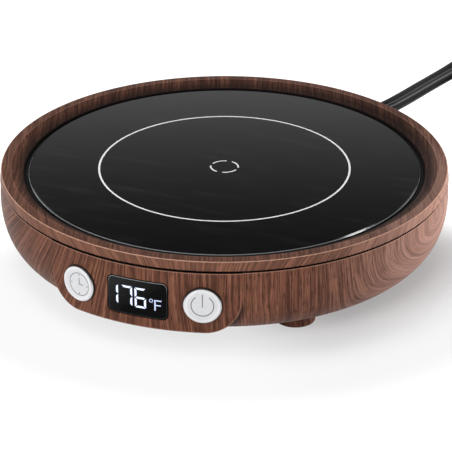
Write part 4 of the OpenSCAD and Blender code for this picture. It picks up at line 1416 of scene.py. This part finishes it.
@dataclass
class Studio:
    """Camera, lamps, pale surroundings and the floor."""

    camera_at: tuple[float, float, float] = (251.27, -637.88, 341.48)
    azimuth: float = 21.5
    tilt: float = 25.999
    pan: float = 0.0357
    roll: float = -0.0851
    lens: float = 205.92
    floor_half: float = 2.6
    lamps: tuple[Softbox, ...] = (
        Softbox("key_softbox", -115, 74, 1.5, (0.6, 0.6), 12.0),
        Softbox("left_fill", -34, 34, 1.6, (0.9, 0.7), 11.0),
        Softbox("glint_softbox", 97, 41, 1.2, (0.52, 0.13), 3.6, True, False),
        Softbox("right_softbox", 124, 3.5, 1.2, (0.9, 0.12), 28.0, False),
    )

    def camera(self) -> None:
        """Sets up the camera: turned to its azimuth, tipped down and rolled, with a long lens."""
        shot = bpy.data.cameras.new("camera")
        shot.lens, shot.sensor_width = self.lens, 36.0
        shot.clip_start, shot.clip_end = 0.05, 20.0
        aim = turned(self.azimuth - self.pan, "Z") @ turned(90 - self.tilt, "X") @ turned(self.roll, "Z")
        place = Matrix.Translation([part * MM for part in self.camera_at])
        bpy.context.scene.camera = hang("camera", shot, place @ aim)

    def surroundings(self) -> None:
        """Paints the sky of the studio: palest at the horizon and darker overhead in gloss, and white to the camera."""
        bench = Bench("studio", bpy.data.worlds)
        height = bench.place("Generated", 1.0).z
        # white up to a height of 0.37 of the sky, and dark from 0.455
        fade = ((0.455 - height) / 0.085).most(0.0).least(1.0)
        grade = bench.blend((fade**2.2) * 0.9 + 0.03, BLACK, WHITE)
        seen, lit, mirrored = (
            bench.signal("ShaderNodeBackground", inputs={0: colour, 1: strength})
            for colour, strength in ((WHITE, 1.0), (WHITE, 0.32), (grade, 1.0))
        )
        both = bench.either(bench.rays("Glossy"), lit, mirrored)
        final = bench.either(bench.rays("Camera", "Transmission"), both, seen)
        bench.node("ShaderNodeOutputWorld", inputs={"Surface": final})
        bpy.context.scene.world = bench.owner

    def floor(self) -> None:
        """Lays a pale floor that is lifted towards white to the camera and in gloss, and keeps the shadow.

        Near the front the paper and its lift are a very pale grey, a painted soft shadow, which fades to white further
        out and behind. The lift grows to the left and outwards, and behind the object's right side, as painted light on
        the shadow.
        """
        axis = np.linspace(-self.floor_half, self.floor_half, 9)
        x, y = np.meshgrid(axis, axis, indexing="ij")
        points = np.stack([x, y, np.zeros_like(x)], -1).reshape(-1, 3)
        made = Shell(points, net(9, 9)[:, ::-1]).object("studio_floor", False)
        bench = Bench("floor_paper")
        at = bench.place()
        right, back, reach = at.toward(self.azimuth), at.toward(self.azimuth + 90), at.reach()
        # painted soft shadow: paper and lift grey near the object, fading to white further out and behind
        far = reach.ramp(86.0, 112.0).most(back.ramp(-12.0, 25.0))
        tooth = bench.noise((at.x * 0.4, at.y * 0.4, 0.0), detail=3.0)
        colour = bench.blend(far * 0.8 + tooth * 0.2, paint(232, 232, 233), paint(248, 248, 248))
        paper = bench.signal("ShaderNodeBsdfDiffuse", inputs={"Color": colour, "Roughness": 0.3})
        pale = bench.blend(far, (0.74, 0.74, 0.745, 1.0), WHITE)
        white = bench.signal("ShaderNodeEmission", inputs={"Color": pale, "Strength": 1.3})
        # painted light on the shadow: more lift to the left and outwards, then behind the right side, and less far back
        # at the right
        share = 0.33 + right.ramp(36.0, -2.0) * 0.44 + reach.ramp(58.0, 74.0) * 0.2
        share = share + back.ramp(0.0, 36.0) * right.band(64.0, 40.0) * 0.6
        share = share - back.ramp(70.0, 90.0) * right.ramp(70.0, 95.0) * 0.3
        seen = bench.rays("Camera", "Glossy", "Transmission") * share.least(0.94)
        bench.node("ShaderNodeOutputMaterial", inputs={"Surface": bench.either(seen, paper, white)})
        dress(made, bench.owner)

    def build(self) -> None:
        """Sets the surroundings, the floor and the lamps."""
        self.surroundings()
        self.floor()
        for lamp in self.lamps:
            lamp.make(self.azimuth)
        LOG.info("studio: %d lamps", len(self.lamps))


def corners(box: Iterable[Any]) -> list[list[float]]:
    """Turns a pair of corners into plain lists of numbers."""
    return [[float(part) for part in corner] for corner in box]


def main() -> None:
    """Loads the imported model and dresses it."""
    logging.basicConfig(level=logging.INFO, format="%(name)s: %(message)s")
    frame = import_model()
    bpy.context.scene.view_settings.view_transform = "Standard"
    studio = Studio()
    studio.camera()
    for assembly in (Lead(), Housing(), Hotplate(), ControlPanel(), PowerBoard()):
        assembly.build(frame["nodes"])
    studio.build()


if __name__ == "__main__":
    main()
